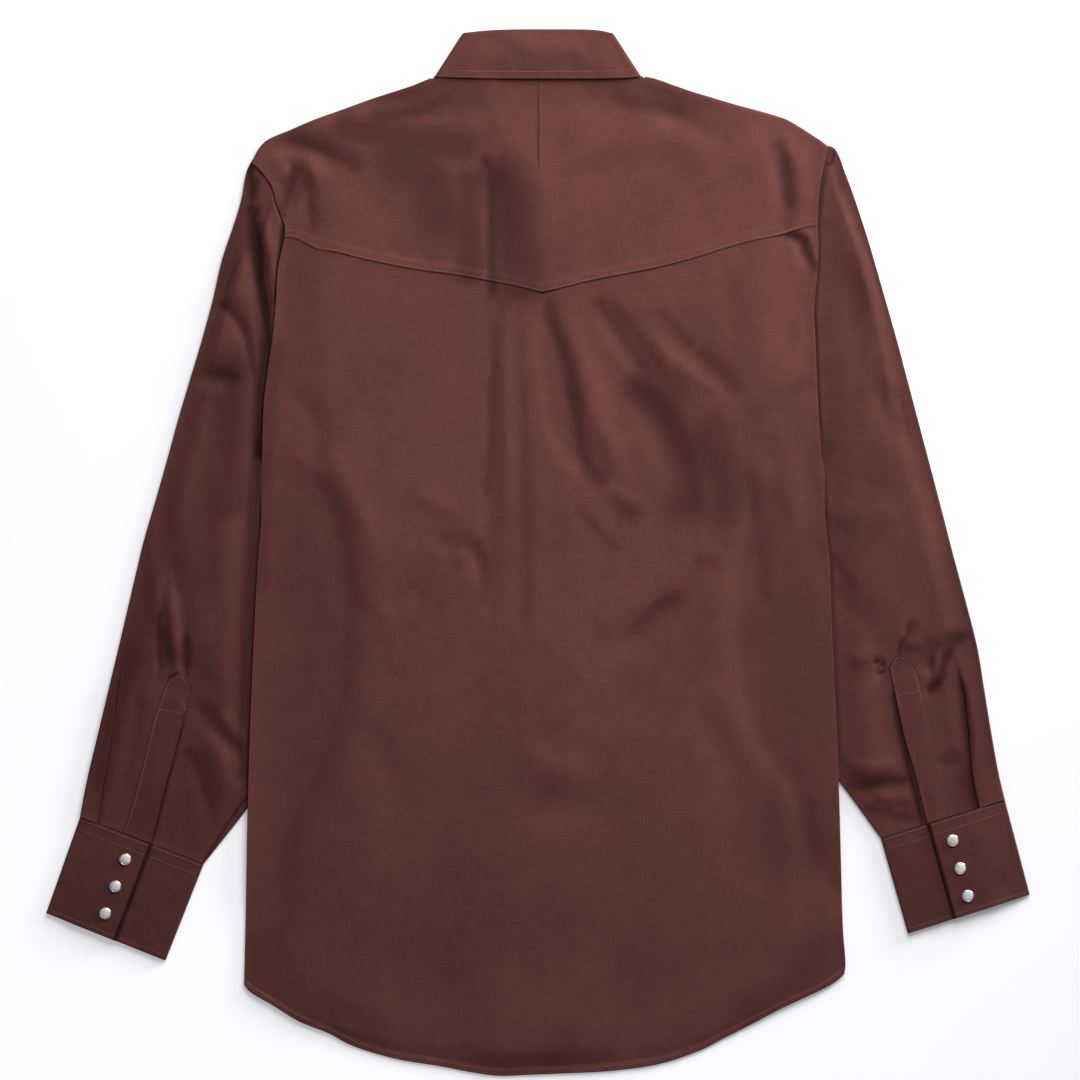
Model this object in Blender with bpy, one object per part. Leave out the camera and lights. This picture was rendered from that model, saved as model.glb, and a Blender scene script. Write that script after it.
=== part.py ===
"""A western snap shirt, laid out flat with its back up.

The shirt lies on the plane Z = 0 with its collar towards +Y and the wearer's left towards
-X. Sizes and tables are in millimetres, and each piece is scaled to metres as it is made.
A piece of cloth is modelled as the surface half-way through its wall: a grid is laid where
the piece's own function says, and a Solidify modifier gives the wall its thickness.
"""
import math

import bmesh
import bpy

MM = 0.001

# ---- Walls and gaps
SEAM = 0.3                  # gap between pieces that are sewn or lie on each other
CLOTH = 1.0                 # one ply of shirt cloth
BAND = 1.2                  # collar leaf, collar stand and front placket
CUFF = 1.4                  # cuff, two plies and an interlining

# ---- Snaps
CAP_RADIUS = 4.9
CAP_HEIGHT = 1.5            # under the front, where the shirt rests on the caps
CUFF_CAP_HEIGHT = 1.8
CAP_SIDES = 14
FRONT_SNAPS = 7
FRONT_SNAP_TOP = 262.0      # the highest front snap, along Y
FRONT_SNAP_PITCH = 85.0
STAND_SNAP_Y = 311.0
CUFF_SNAP_DEPTHS = (18.4, 41.8, 65.2)

# ---- Heights of the middle of each layer above the surface that the shirt lies on
FLOOR_LEVEL = CLOTH / 2
LAYER = CLOTH + SEAM                                        # from one ply to the next
SLEEVE_TOP = FLOOR_LEVEL + 1.6                              # a sleeve's upper ply
OVER_SLEEVE = SLEEVE_TOP + LAYER                            # a front on a sleeve
PLACKET_LEVEL = CAP_HEIGHT + SEAM + BAND / 2
LEFT_CENTRE = PLACKET_LEVEL + BAND / 2 + SEAM + CLOTH / 2   # left front on the placket
RIGHT_CENTRE = LEFT_CENTRE + LAYER                          # right front on the left one
LEAF_FRONT = BAND / 2 + 0.06                                # the collar's points
STAND_FRONT = LEAF_FRONT + BAND + 1.5 * SEAM
OVER_LEAF = BAND + SEAM + CLOTH / 2                         # a front on a collar point
BRIDGE = 3.7                # the back, where it spans from the sleeves to the placket
RAMP_AIR = 0.7              # more room where the fronts come down beside a sleeve
SLEEVE_AIR = 1.0            # how far a sleeve's upper ply stands up between its edges
PLEAT = CLOTH + SEAM        # step where the cuff's pleat is folded over

# ---- Widths
PLACKET_HALF = 18.0
PLACKET_RAMP = 45.0         # over which a front comes down beside the placket
SLEEVE_RAMP = 45.0          # over which a front comes down beside a sleeve
TUCK = 7.0                  # of the sleeve's head, under the edge of the back
UNDERARM_TUCK = 16.0        # the same at the underarm
ARMHOLE_GAP = 1.4           # between a front and the curved head of the sleeve
SHOULDER_WRAP = 12.0        # of the yoke, under the shoulder fold
FRONT_SHORTER = 30.0        # the front hem, above the back hem at the centre
UNDERARM_Y = 93.0
CUFF_RISE = 1.8             # from a cuff's lower wall to its upper one
UNDERLAP = 25.0             # of a cuff's ends

# ---- Where one layer lies over another, and how soon it comes down beside it
BESIDE_SLEEVE = 15.0        # a front stays up this far past a sleeve's inner edge
BESIDE_PLACKET = 2.0
LEAF_REACH = 92.0           # half width that the collar's points fill under the fronts
LEAF_FOOT_Y = 221.0
LEAF_RAMP = 35.0
BACK_PLATEAU = 24.0         # half width of the back's flat middle, over the placket
BACK_RAMP = 60.0

# ---- Grids
BACK_GRID = (30, 36)
FRONT_GRID = (14, 22)
PLACKET_GRID = (2, 22)
GAUNTLET_GRID = (4, 9)
SLEEVE_ROWS = 20
CUFF_ROWS = 3
YOKE_COLUMNS = 30
YOKE_TOP_ROWS = 10
YOKE_WRAP_ROWS = 5
YOKE_ROWS = YOKE_TOP_ROWS + YOKE_WRAP_ROWS
NECK_SHARE = 1.0 / 3.0      # of the yoke's width, where each shoulder meets the neck
BACK_STEPS = 5              # of a neck band, from the centre back to the side of the neck
TURN_STEPS = 4              # round the side of the neck
BAND_STEPS = 2 * (BACK_STEPS + TURN_STEPS + 6)
STAND_ROWS = 2
LEAF_ROWS = (0.0, 0.035, 0.3, 0.65, 1.0)    # shares from the leaf's fold to its edge
LEAF_CURL = 0.6             # of the leaf's first row, towards the stand

# ---- Outline of the body: x, y
HEM = (
    (-241.0, -354.0), (-236.0, -360.0), (-218.0, -370.5), (-196.0, -384.0),
    (-171.5, -394.0), (-156.0, -402.5), (-140.0, -408.5), (-113.0, -415.7),
    (-80.0, -421.0), (-54.0, -426.0), (-32.0, -428.8), (-7.0, -428.0), (18.0, -427.0),
    (60.0, -424.8), (100.0, -419.0), (133.0, -408.0), (150.0, -399.3), (174.0, -387.0),
    (198.5, -374.0), (231.0, -358.8), (243.5, -352.0), (251.0, -345.5),
)
BACK_LEFT = (
    (-241.0, -354.0), (-239.4, -284.0), (-237.8, -202.0), (-235.8, -137.0),
    (-233.0, -71.0), (-229.6, -6.0), (-227.0, 27.0), (-226.3, 78.0), (-224.7, 124.0),
    (-221.4, 151.0), (-217.3, 180.0), (-214.8, 208.0), (-213.2, 233.0), (-207.7, 258.3),
)
BACK_RIGHT = (
    (251.0, -345.5), (252.2, -337.0), (250.1, -309.0), (248.5, -260.0), (246.8, -202.0),
    (244.4, -137.0), (241.0, -71.0), (238.6, -6.0), (235.3, 27.0), (232.0, 78.0),
    (228.8, 133.0), (227.0, 180.0), (226.0, 197.0), (229.6, 242.0), (229.3, 268.8),
)
YOKE_LEFT = (
    (-207.7, 258.6), (-207.7, 268.0), (-210.7, 276.0), (-214.8, 288.0), (-218.0, 300.0),
    (-226.3, 312.0), (-234.5, 320.6),
)
YOKE_RIGHT = (
    (229.3, 269.1), (230.4, 293.0), (233.7, 314.0), (236.2, 324.0), (237.8, 333.7),
)
YOKE_SEAM_LEFT = (
    (-207.7, 258.3), (-200.0, 258.3), (-187.0, 252.1), (-180.0, 248.5), (-168.0, 246.8),
    (-138.0, 239.4), (-101.0, 232.1), (-65.0, 227.1), (-15.6, 217.7), (2.5, 213.2),
)
YOKE_SEAM_RIGHT = (
    (2.5, 213.2), (11.5, 214.8), (46.7, 223.5), (91.0, 232.1), (127.0, 241.1),
    (168.0, 253.8), (198.0, 260.4), (216.0, 266.1), (229.3, 268.8),
)
SHOULDER_LEFT = (
    (-234.5, 320.6), (-229.6, 330.5), (-222.2, 338.7), (-203.4, 346.9), (-184.5, 355.1),
    (-161.5, 363.3), (-134.5, 373.1), (-104.0, 382.9), (-87.7, 389.5),
)
SHOULDER_RIGHT = (
    (90.0, 389.8), (97.0, 388.3), (113.0, 383.0), (128.0, 378.0), (144.3, 373.1),
    (160.7, 368.2), (178.8, 363.3), (196.0, 358.3), (205.0, 355.1), (231.2, 338.7),
    (237.8, 333.7),
)
BACK_NECK = (
    (-85.8, 388.7), (-82.5, 388.2), (-79.0, 387.2), (-70.0, 389.9), (-55.0, 393.2),
    (-30.0, 396.3), (0.0, 397.6), (30.0, 396.3), (55.0, 393.2), (70.0, 389.9),
    (79.0, 387.2), (82.5, 388.2), (85.8, 388.7),
)
INWARD_LEFT = (0.42, -0.907)        # from a shoulder's edge into the body
INWARD_RIGHT = (-0.42, -0.907)

# ---- Collar: where a band's edge lies at the back, at the side of the neck and in front
# columns: centre back y, side x, side y, curve x, curve y, end x, end y
NECK_SEAM = (398.0, 81.5, 389.0, 72.0, 305.0, -12.0, 296.3)
STAND_TOP = (425.3, 60.0, 422.6, 54.5, 334.0, -12.0, 322.0)
LEAF_FOLD = (428.8, 61.7, 426.0, 53.0, 338.0, 3.0, 326.0)
LEAF_EDGE = (388.4, 84.9, 389.9, 66.0, 326.0, 46.0, 264.0)

# ---- Sleeves, a row for each section from the head to the cuff
# columns: outer edge x, y; inner edge x, y (it lies under the body down to the forearm)
SLEEVE_LEFT = (
    (-227.5, 326.5, -210.0, UNDERARM_Y), (-238.5, 311.0, -212.5, 90.0),
    (-243.0, 290.0, -215.5, 87.5), (-249.5, 268.5, -218.5, 85.0),
    (-259.0, 240.0, -221.5, 82.5), (-266.5, 207.5, -224.0, 79.5),
    (-276.0, 173.0, -225.5, 75.5), (-285.4, 142.0, -225.5, 70.0),
    (-295.0, 110.0, -222.0, 61.0), (-304.2, 76.3, -214.0, 46.0),
    (-314.0, 42.0, -203.0, 24.0), (-323.1, 10.7, -195.0, -6.0),
    (-331.0, -22.0, -190.0, -42.0), (-338.7, -55.0, -189.0, -80.0),
    (-347.0, -90.0, -192.0, -115.0), (-354.2, -120.5, -202.0, -147.0),
    (-362.0, -153.0, -220.0, -178.0), (-369.8, -186.0, -243.0, -208.3),
    (-375.6, -216.4, -274.3, -255.2),
)
SLEEVE_RIGHT = (
    (230.5, 329.0, 215.0, UNDERARM_Y), (243.3, 331.0, 217.5, 90.0),
    (252.0, 311.0, 220.5, 87.5), (259.9, 289.5, 223.5, 85.0),
    (270.6, 256.7, 226.5, 82.5), (279.0, 228.0, 229.0, 79.5),
    (286.5, 202.0, 230.3, 75.5), (295.0, 172.0, 230.5, 70.0),
    (303.5, 140.0, 227.0, 61.0), (312.0, 108.0, 219.0, 46.0),
    (320.4, 76.3, 208.0, 24.0), (331.0, 36.0, 200.0, -6.0),
    (340.5, -1.0, 195.0, -42.0), (351.0, -40.0, 194.0, -78.0),
    (360.5, -78.0, 198.0, -110.0), (366.0, -112.0, 209.0, -138.0),
    (371.5, -146.0, 227.0, -163.0), (377.6, -180.0, 250.0, -191.0),
    (382.9, -202.4, 281.3, -234.0),
)
PLEAT_SHARE = 0.10          # where the pleat lies across a sleeve's upper ply
UPPER_SHARES = (0.0, 0.08, 0.12, 0.22, 0.33, 0.44, 0.56, 0.67, 0.78, 0.89, 1.0)
LOWER_SHARES = (1.0, 0.86, 0.68, 0.52, 0.38, 0.26, 0.14, 0.0)
TURN_ANGLES = (45.0, 90.0, 135.0)

# ---- Sleeve plackets: left edge, right edge and top, from the cuff up
GAUNTLET_LEFT = (
    ((-340.5, -229.4), (-334.6, -212.4), (-323.4, -171.4), (-314.1, -133.7),
     (-304.5, -107.4)),
    ((-317.0, -238.5), (-312.1, -218.9), (-304.5, -189.0), (-296.8, -161.5),
     (-284.8, -114.0)),
    ((-304.5, -107.4), (-300.0, -101.5), (-292.0, -100.0), (-287.0, -105.0),
     (-284.8, -114.0)),
)
GAUNTLET_RIGHT = (
    ((318.8, -222.0), (308.5, -180.5), (300.1, -151.7), (292.5, -117.3), (287.5, -94.0)),
    ((341.0, -215.0), (332.9, -192.7), (325.5, -158.3), (320.6, -137.8), (312.6, -106.0)),
    ((287.5, -94.0), (294.0, -84.0), (300.0, -84.5), (307.5, -91.0), (312.6, -106.0)),
)

# ---- Cuffs, corners x, y: top outer, top inner, bottom outer, bottom inner; the overlap's
# edge and the snaps, in millimetres from the outer edge
CUFF_LEFT = ((-375.6, -216.7), (-274.3, -255.5), (-403.3, -295.2), (-305.5, -334.2))
CUFF_RIGHT = ((382.9, -202.7), (281.3, -234.3), (403.3, -280.1), (303.4, -312.0))
OVERLAP_LEFT = 62.0
OVERLAP_RIGHT = 65.5
SNAP_INSET = 15.5           # from the overlap's edge to the snaps

# ---- Folds: points along each, half width, height (a trough is negative)
BACK_FOLDS = (
    (((-31, 212), (-39, 93), (-39, -88)), 10, -1.4),
    (((-24, 205), (-22, 40)), 8, 0.7),
    (((11, 212), (22, 150), (43, 93), (59, 60)), 11, -2.4),
    (((34, 183), (60, 115), (84, 60)), 12, 1.7),
    (((51, 214), (84, 166), (104, 134)), 10, -1.6),
    (((67, 134), (100, 109), (125, 68), (133, 35)), 14, -2.2),
    (((92, 175), (133, 125)), 11, 1.4),
    (((125, 166), (166, 130)), 9, -1.2),
    (((51, -88), (92, -55), (125, -30)), 12, -1.3),
    (((170, 60), (190, -55)), 14, -1.2),
    (((-195, 84), (-158, 11), (-134, -55), (-121, -71)), 12, -1.4),
    (((-134, -47), (-89, -22)), 10, -0.8),
    (((-89, 11), (-56, 2), (-43, -30)), 10, -1.0),
    (((-15, -153), (15, -176), (43, -178)), 16, 0.8),
)
YOKE_FOLDS = (
    (((-216, 326), (-177, 321)), 9, -1.0),
    (((-160, 352), (-90, 372)), 9, -0.8),
    (((-196, 312), (-200, 274)), 8, -1.0),
    (((-48, 326), (-31, 310), (-15, 269), (4, 220)), 14, -1.7),
    (((35, 365), (60, 330)), 22, 0.9),
    (((90, 372), (133, 347)), 12, -1.1),
    (((196, 325), (204, 275)), 9, -1.1),
)
SLEEVE_FOLDS = (
    (((-229, 275), (-227, 240), (-224, 190)), 9, -1.0),
    (((-262, 200), (-240, 164)), 10, -1.0),
    (((-278, 146), (-245, 142)), 9, -1.0),
    (((-306, 68), (-294, -55)), 12, -0.9),
    (((-280, -122), (-245, -168)), 9, -0.8),
    (((272, 142), (301, 84)), 13, -0.9),
    (((242, -32), (284, -79)), 11, -0.9),
    (((350, -66), (338, -78), (331, -97)), 9, -0.9),
    (((250, -97), (282, -96)), 9, -0.8),
)

# ---- Materials: colour, roughness, metallic
BROWN = ((0.118, 0.045, 0.037, 1.0), 0.85, 0.0)
BROWN_BAND = ((0.110, 0.042, 0.034, 1.0), 0.85, 0.0)
PEARL = ((0.83, 0.82, 0.80, 1.0), 0.22, 0.0)


# ---- Curves and steps

def smooth(share):
    """A soft step from 0 to 1."""
    share = min(max(share, 0.0), 1.0)
    return share * share * (3.0 - 2.0 * share)


def blend(*lifts):
    """The highest of several lifts, with the corner between them rounded."""
    return sum(max(lift, 0.0) ** 4 for lift in lifts) ** 0.25


def mix(start, end, share):
    """Point between two points."""
    return tuple(a + (b - a) * share for a, b in zip(start, end))


def moved(point, direction, distance):
    """Point moved along a plan direction."""
    return (point[0] + direction[0] * distance, point[1] + direction[1] * distance)


def edge(points):
    """Smooth line through points, read by its share of length."""
    stops = [0.0]
    for start, end in zip(points, points[1:]):
        stops.append(stops[-1] + math.dist(start, end))
    last = len(points) - 1
    slopes = []
    for index in range(last + 1):
        before = max(index - 1, 0)
        after = min(index + 1, last)
        span = stops[after] - stops[before]
        slopes.append(tuple((b - a) / span for a, b in zip(points[before], points[after])))

    def at(share):
        along = min(max(share, 0.0), 1.0) * stops[-1]
        index = 0
        while index < last - 1 and along > stops[index + 1]:
            index += 1
        span = stops[index + 1] - stops[index]
        t = (along - stops[index]) / span
        ahead = t * t * (3.0 - 2.0 * t)
        leave = t * (1.0 - t) ** 2 * span
        arrive = t * t * (t - 1.0) * span
        return tuple(
            a * (1.0 - ahead) + b * ahead + m * leave + n * arrive
            for a, b, m, n in zip(points[index], points[index + 1],
                                  slopes[index], slopes[index + 1]))
    return at


def joined(*parts):
    """One line from several: (share where it ends, line), in order."""
    def at(share):
        start = 0.0
        for end, line in parts:
            if share <= end or end == parts[-1][0]:
                return line((share - start) / (end - start))
            start = end
        return None
    return at


def patch(u, v, bottom, top, left, right):
    """Point of a panel spread between its four edges."""
    across = mix(left(v), right(v), u)
    along = mix(bottom(u), top(u), v)
    corners = mix(mix(bottom(0.0), bottom(1.0), u), mix(top(0.0), top(1.0), u), v)
    return tuple(a + b - c for a, b, c in zip(across, along, corners))


def read(points, key, by=1):
    """Straight-line value of a table of points: x at a y (by=1), or y at an x (by=0)."""
    rows = sorted(points, key=lambda point: point[by])
    if key <= rows[0][by]:
        return rows[0][1 - by]
    for low, high in zip(rows, rows[1:]):
        if key <= high[by]:
            share = (key - low[by]) / max(high[by] - low[by], 1e-9)
            return low[1 - by] + (high[1 - by] - low[1 - by]) * share
    return rows[-1][1 - by]


def distance_to_line(x, y, points):
    """Distance from a point to a line of straight pieces, and the share along it."""
    best = (1e9, 0.0)
    pieces = len(points) - 1
    for index in range(pieces):
        start = points[index]
        end = points[index + 1]
        run = (end[0] - start[0], end[1] - start[1])
        share = ((x - start[0]) * run[0] + (y - start[1]) * run[1]) / (run[0] ** 2 + run[1] ** 2)
        share = min(max(share, 0.0), 1.0)
        gap = math.hypot(x - start[0] - run[0] * share, y - start[1] - run[1] * share)
        best = min(best, (gap, (index + share) / pieces))
    return best


def fold_height(x, y, folds):
    """Height that a table's folds add at a point; each fades out at its ends."""
    total = 0.0
    for points, half_width, height in folds:
        gap, along = distance_to_line(x, y, points)
        if gap < 3.0 * half_width:
            ends = 0.35 + 0.65 * smooth(min(along, 1.0 - along) / 0.25)
            total += height * ends * math.exp(-(gap / half_width) ** 2)
    return total


# ---- Heights of the layers

def body_side(side):
    """The body's side edge, from the hem to the shoulder."""
    if side < 0:
        return BACK_LEFT + YOKE_LEFT[1:]
    return BACK_RIGHT + YOKE_RIGHT[1:]


def sleeve_rows(side):
    """Section table of the sleeve on that side."""
    return SLEEVE_LEFT if side < 0 else SLEEVE_RIGHT


def on_sleeve(x, y):
    """1 above the hidden part of a sleeve, falling to 0 beside it."""
    inner = [(row[2], row[3]) for row in sleeve_rows(x)]
    top = inner[0][1]
    bottom = inner[-1][1]
    if bottom < y < top and abs(x) > abs(read(inner, y)):
        return 1.0
    gap = distance_to_line(x, y, inner)[0]
    return 1.0 - smooth((gap - BESIDE_SLEEVE) / SLEEVE_RAMP)


def on_placket(x, plateau=PLACKET_HALF + BESIDE_PLACKET, ramp=PLACKET_RAMP):
    """1 above the placket, falling to 0 beside it."""
    return 1.0 - smooth((abs(x) - plateau) / ramp)


def on_leaf(x, y):
    """1 above the collar's points, falling to 0 beside them."""
    beside = 1.0 - smooth((abs(x) - LEAF_REACH) / LEAF_RAMP)
    return beside * smooth((y - LEAF_FOOT_Y) / LEAF_RAMP)


def placket_drop(y):
    """How far the placket sinks to the surface below its last snap."""
    last_snap = FRONT_SNAP_TOP - FRONT_SNAP_PITCH * (FRONT_SNAPS - 1)
    return (PLACKET_LEVEL - BAND / 2) * smooth((last_snap - 25.0 - y) / 60.0)


def front_level(x, y, centre):
    """Height of a front panel whose centre edge lies at the height centre."""
    return FLOOR_LEVEL + blend(
        (OVER_SLEEVE - FLOOR_LEVEL) * on_sleeve(x, y),
        (centre - placket_drop(y) - FLOOR_LEVEL) * on_placket(x),
        (OVER_LEAF - FLOOR_LEVEL) * on_leaf(x, y))


def hem_gap(x):
    """How much higher the front hem lies than the back hem."""
    return FRONT_SHORTER * max(0.0, 1.0 - (x / 225.0) ** 2)


def side_inset(x, y):
    """Distance from the nearer side edge of the body."""
    return min(x - read(body_side(-1), y), read(body_side(1), y) - x)


def spans(x, y):
    """1 where the back spans over air, 0 where it lies on the fronts."""
    above_hem = smooth((y - read(HEM, x, 0) - 35.0) / 70.0)
    at_side = 1.0 - smooth((side_inset(x, y) - 4.0) / 40.0)
    at_side *= smooth((UNDERARM_Y + 10.0 - y) / 30.0)
    return above_hem * (1.0 - at_side) * (1.0 - on_sleeve(x, y) ** 2)


def back_level(x, y, folds=()):
    """Height of the back and of the yoke."""
    neck_sag = 1.0 - smooth((y - STAND_TOP[6] + 4.0) / 40.0)
    middle = RIGHT_CENTRE - placket_drop(y) - FLOOR_LEVEL
    rest = LAYER + blend(
        (OVER_SLEEVE - FLOOR_LEVEL) * on_sleeve(x, y),
        middle * on_placket(x, BACK_PLATEAU, BACK_RAMP) * neck_sag,
        (OVER_LEAF - FLOOR_LEVEL) * on_leaf(x, y))
    ramp = on_sleeve(x, y)
    rest += RAMP_AIR * 4.0 * ramp * (1.0 - ramp)
    spread = blend(rest, (BRIDGE - FLOOR_LEVEL) * spans(x, y))
    fold = fold_height(x, y, folds) * smooth((side_inset(x, y) - 2.0) / 14.0)
    slack = spread - rest + fold
    room = 0.5 * (slack + math.sqrt(slack * slack + 0.09 * smooth(abs(fold) / 0.2)))
    level = rest + max(room, 0.0)
    gap = hem_gap(x)
    fall = 1.0 - smooth((y - read(HEM, x, 0) - 1.0) / max(0.75 * gap, 1.0))
    return FLOOR_LEVEL + level * (1.0 - fall * smooth((gap - 6.0) / 14.0))


def tuck(y):
    """How far the sleeve's head lies under the back, more towards the underarm."""
    return TUCK + (UNDERARM_TUCK - TUCK) * smooth((200.0 - y) / (200.0 - UNDERARM_Y))


def armhole_x(side, y):
    """X of the body's edge over the sleeve."""
    return read(body_side(side), y)


# ---- Making pieces

def material(name, finish):
    """Plain material of one piece."""
    colour, roughness, metallic = finish
    made = bpy.data.materials.new(name + "_finish")
    made.use_nodes = True
    shader = made.node_tree.nodes["Principled BSDF"]
    shader.inputs["Base Color"].default_value = colour
    shader.inputs["Roughness"].default_value = roughness
    shader.inputs["Metallic"].default_value = metallic
    made.diffuse_color = colour
    return made


def add_piece(name, shape, finish):
    """Object from a bmesh, with its own material and soft shading."""
    mesh = bpy.data.meshes.new(name)
    shape.to_mesh(mesh)
    shape.free()
    mesh.shade_smooth()
    mesh.materials.append(material(name, finish))
    piece = bpy.data.objects.new(name, mesh)
    bpy.context.collection.objects.link(piece)
    return piece


def sheet(name, across, along, place, wall, finish, keep=None):
    """Piece of cloth: a grid laid by place(u, v), given its wall."""
    grid = bmesh.new()
    bmesh.ops.create_grid(grid, x_segments=across, y_segments=along, size=0.5)
    if keep:
        spare = []
        for face in grid.faces:
            centre = face.calc_center_median()
            if not keep(centre.x + 0.5, centre.y + 0.5):
                spare.append(face)
        bmesh.ops.delete(grid, geom=spare, context="FACES")
    for vertex in grid.verts:
        u = round((vertex.co.x + 0.5) * across) / across
        v = round((vertex.co.y + 0.5) * along) / along
        vertex.co = [value * MM for value in place(u, v)]
    bmesh.ops.remove_doubles(grid, verts=grid.verts, dist=1e-6)
    piece = add_piece(name, grid, finish)
    give_wall = piece.modifiers.new("Wall", "SOLIDIFY")
    give_wall.thickness = wall * MM
    give_wall.offset = 0.0
    give_wall.use_even_offset = True
    give_wall.use_quality_normals = True
    return piece


# ---- Body

def yoke_seam(above):
    """The pointed seam between back and yoke, moved up by half the seam's gap or down."""
    left = edge([(x, y + above) for x, y in YOKE_SEAM_LEFT])
    right = edge([(x, y + above) for x, y in YOKE_SEAM_RIGHT])
    return joined((0.5, left), (1.0, right))


def back_piece():
    """Back, from the hem up to the yoke."""
    hem = edge(HEM)
    seam = yoke_seam(0.0)
    left = edge(BACK_LEFT)
    right = edge(BACK_RIGHT)

    def place(u, v):
        x, y = patch(u, v ** 1.2, hem, seam, left, right)
        return x, y, back_level(x, y, BACK_FOLDS)

    sheet("back", *BACK_GRID, place, CLOTH, BROWN)


def shoulder_roll(point):
    """Radius of the fold at a shoulder, half-way through the cloth, and the height of
    the ply below it."""
    above = back_level(point[0], point[1], YOKE_FOLDS)
    below = front_level(point[0], point[1], LEFT_CENTRE)
    return (above - below) / 2, below


def shoulder_inset(line, inward):
    """A shoulder's outline, moved in to where the yoke starts to turn over."""
    def at(share):
        point = line(share)
        radius = shoulder_roll(moved(point, inward, 2.0))[0]
        return moved(point, inward, radius + CLOTH / 2)
    return at


def yoke_piece():
    """Back yoke, folded over both shoulders."""
    left_shoulder = shoulder_inset(edge(SHOULDER_LEFT), INWARD_LEFT)
    right_shoulder = shoulder_inset(edge(SHOULDER_RIGHT), INWARD_RIGHT)
    neck = [left_shoulder(1.0)] + list(BACK_NECK) + [right_shoulder(0.0)]
    top = joined((NECK_SHARE, left_shoulder), (1.0 - NECK_SHARE, edge(neck)),
                 (1.0, right_shoulder))
    seam = yoke_seam(SEAM)
    left = edge([seam(0.0)] + list(YOKE_LEFT[1:-1]) + [top(0.0)])
    right = edge([seam(1.0)] + list(YOKE_RIGHT[1:-1]) + [top(1.0)])

    def place(u, v):
        row = round(v * YOKE_ROWS)
        if row <= YOKE_TOP_ROWS:
            x, y = patch(u, row / YOKE_TOP_ROWS, seam, top, left, right)
            return x, y, back_level(x, y, YOKE_FOLDS)
        inward = INWARD_LEFT if u < 0.5 else INWARD_RIGHT
        start = top(u)
        level = back_level(start[0], start[1], YOKE_FOLDS)
        below = front_level(start[0], start[1], LEFT_CENTRE)
        radius = (level - below) / 2
        step = row - YOKE_TOP_ROWS
        if step < YOKE_WRAP_ROWS:
            angle = math.pi * step / (YOKE_WRAP_ROWS - 1)
            x, y = moved(start, inward, -radius * math.sin(angle))
            return x, y, below + radius + radius * math.cos(angle)
        x, y = moved(start, inward, SHOULDER_WRAP)
        return x, y, below

    def keep(u, v):
        on_top = v * YOKE_ROWS < YOKE_TOP_ROWS
        on_shoulder = u < NECK_SHARE or u > 1.0 - NECK_SHARE
        on_roll = v * YOKE_ROWS < YOKE_ROWS - 1
        clear_of_sleeve = NECK_SHARE * 0.25 < u < 1.0 - NECK_SHARE * 0.25
        return on_top or (on_shoulder and (on_roll or clear_of_sleeve))

    sheet("yoke", YOKE_COLUMNS, YOKE_ROWS, place, CLOTH, BROWN, keep)


def front_side(side):
    """A front's outer edge: the side seam, then the armhole, beside the sleeve's head."""
    points = [(x, y) for x, y in body_side(side) if y < UNDERARM_Y - 12.0]
    for y in (97.0, 115.0, 140.0, 165.0, 190.0, 215.0, 235.0, 250.0, 265.0, 280.0, 300.0):
        clear = tuck(y) + ARMHOLE_GAP + 3.0 * smooth((150.0 - y) / 40.0)
        points.append((armhole_x(side, y) - side * clear, y))
    return points


def front_piece(name, side, centre):
    """A front panel, from its hem to the shoulder seam and the neck."""
    shoulder = edge(SHOULDER_LEFT) if side < 0 else edge(SHOULDER_RIGHT[::-1])
    inward = INWARD_LEFT if side < 0 else INWARD_RIGHT

    def shoulder_seam(share):
        point = shoulder(0.15 + 0.85 * share)
        radius = shoulder_roll(moved(point, inward, 2.0))[0]
        return moved(point, inward, radius + CLOTH / 2 + SHOULDER_WRAP + SEAM)

    neck_start = shoulder_seam(1.0)
    neck = neck_line(neck_start, side)
    outer = front_side(side)
    outer.append(shoulder_seam(0.0))
    hem_start = outer[0]
    centre_x = -side * PLACKET_HALF
    count = 12
    hem = []
    for index in range(count + 1):
        x = hem_start[0] + (centre_x - hem_start[0]) * index / count
        hem.append((x, read(HEM, x, 0) + hem_gap(x)))
    hem[0] = hem_start
    top = joined((0.5, shoulder_seam), (1.0, edge(neck)))
    outer_edge = edge(outer)
    centre_edge = edge((hem[-1], neck[-1]))
    hem_edge = edge(hem)

    def place(u, v):
        share = u if side < 0 else 1.0 - u
        x, y = patch(share, v, hem_edge, top, outer_edge, centre_edge)
        return x, y, front_level(x, y, centre)

    sheet(name, *FRONT_GRID, place, CLOTH, BROWN)


def neck_line(start, side):
    """A front's neck edge, below the collar stand, from the shoulder to the centre."""
    points = [start]
    for share in (0.25, 0.4, 0.52, 0.62):
        x, y = front_run(NECK_SEAM, share)
        points.append((side * (x + SEAM), y - SEAM))
    points.append((side * (PLACKET_HALF + 4.0), NECK_SEAM[6] - SEAM))
    points.append((-side * PLACKET_HALF, NECK_SEAM[6] - SEAM))
    return points


def placket_piece():
    """Strip on the left front's edge, down to its hem."""
    top = NECK_SEAM[6] - SEAM

    def place(u, v):
        x = PLACKET_HALF * (2.0 * u - 1.0)
        bottom = read(HEM, x, 0) + hem_gap(x)
        y = bottom + (top - bottom) * v
        return x, y, PLACKET_LEVEL - placket_drop(y)

    sheet("placket", *PLACKET_GRID, place, BAND, BROWN_BAND)


# ---- Collar

def front_run(line, share):
    """Plan point of a band's edge between the side of the neck and its end in front."""
    side = (line[1], line[2])
    curve = (line[3], line[4])
    end = (line[5], line[6])
    return mix(mix(side, curve, share), mix(curve, end, share), share)


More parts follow.
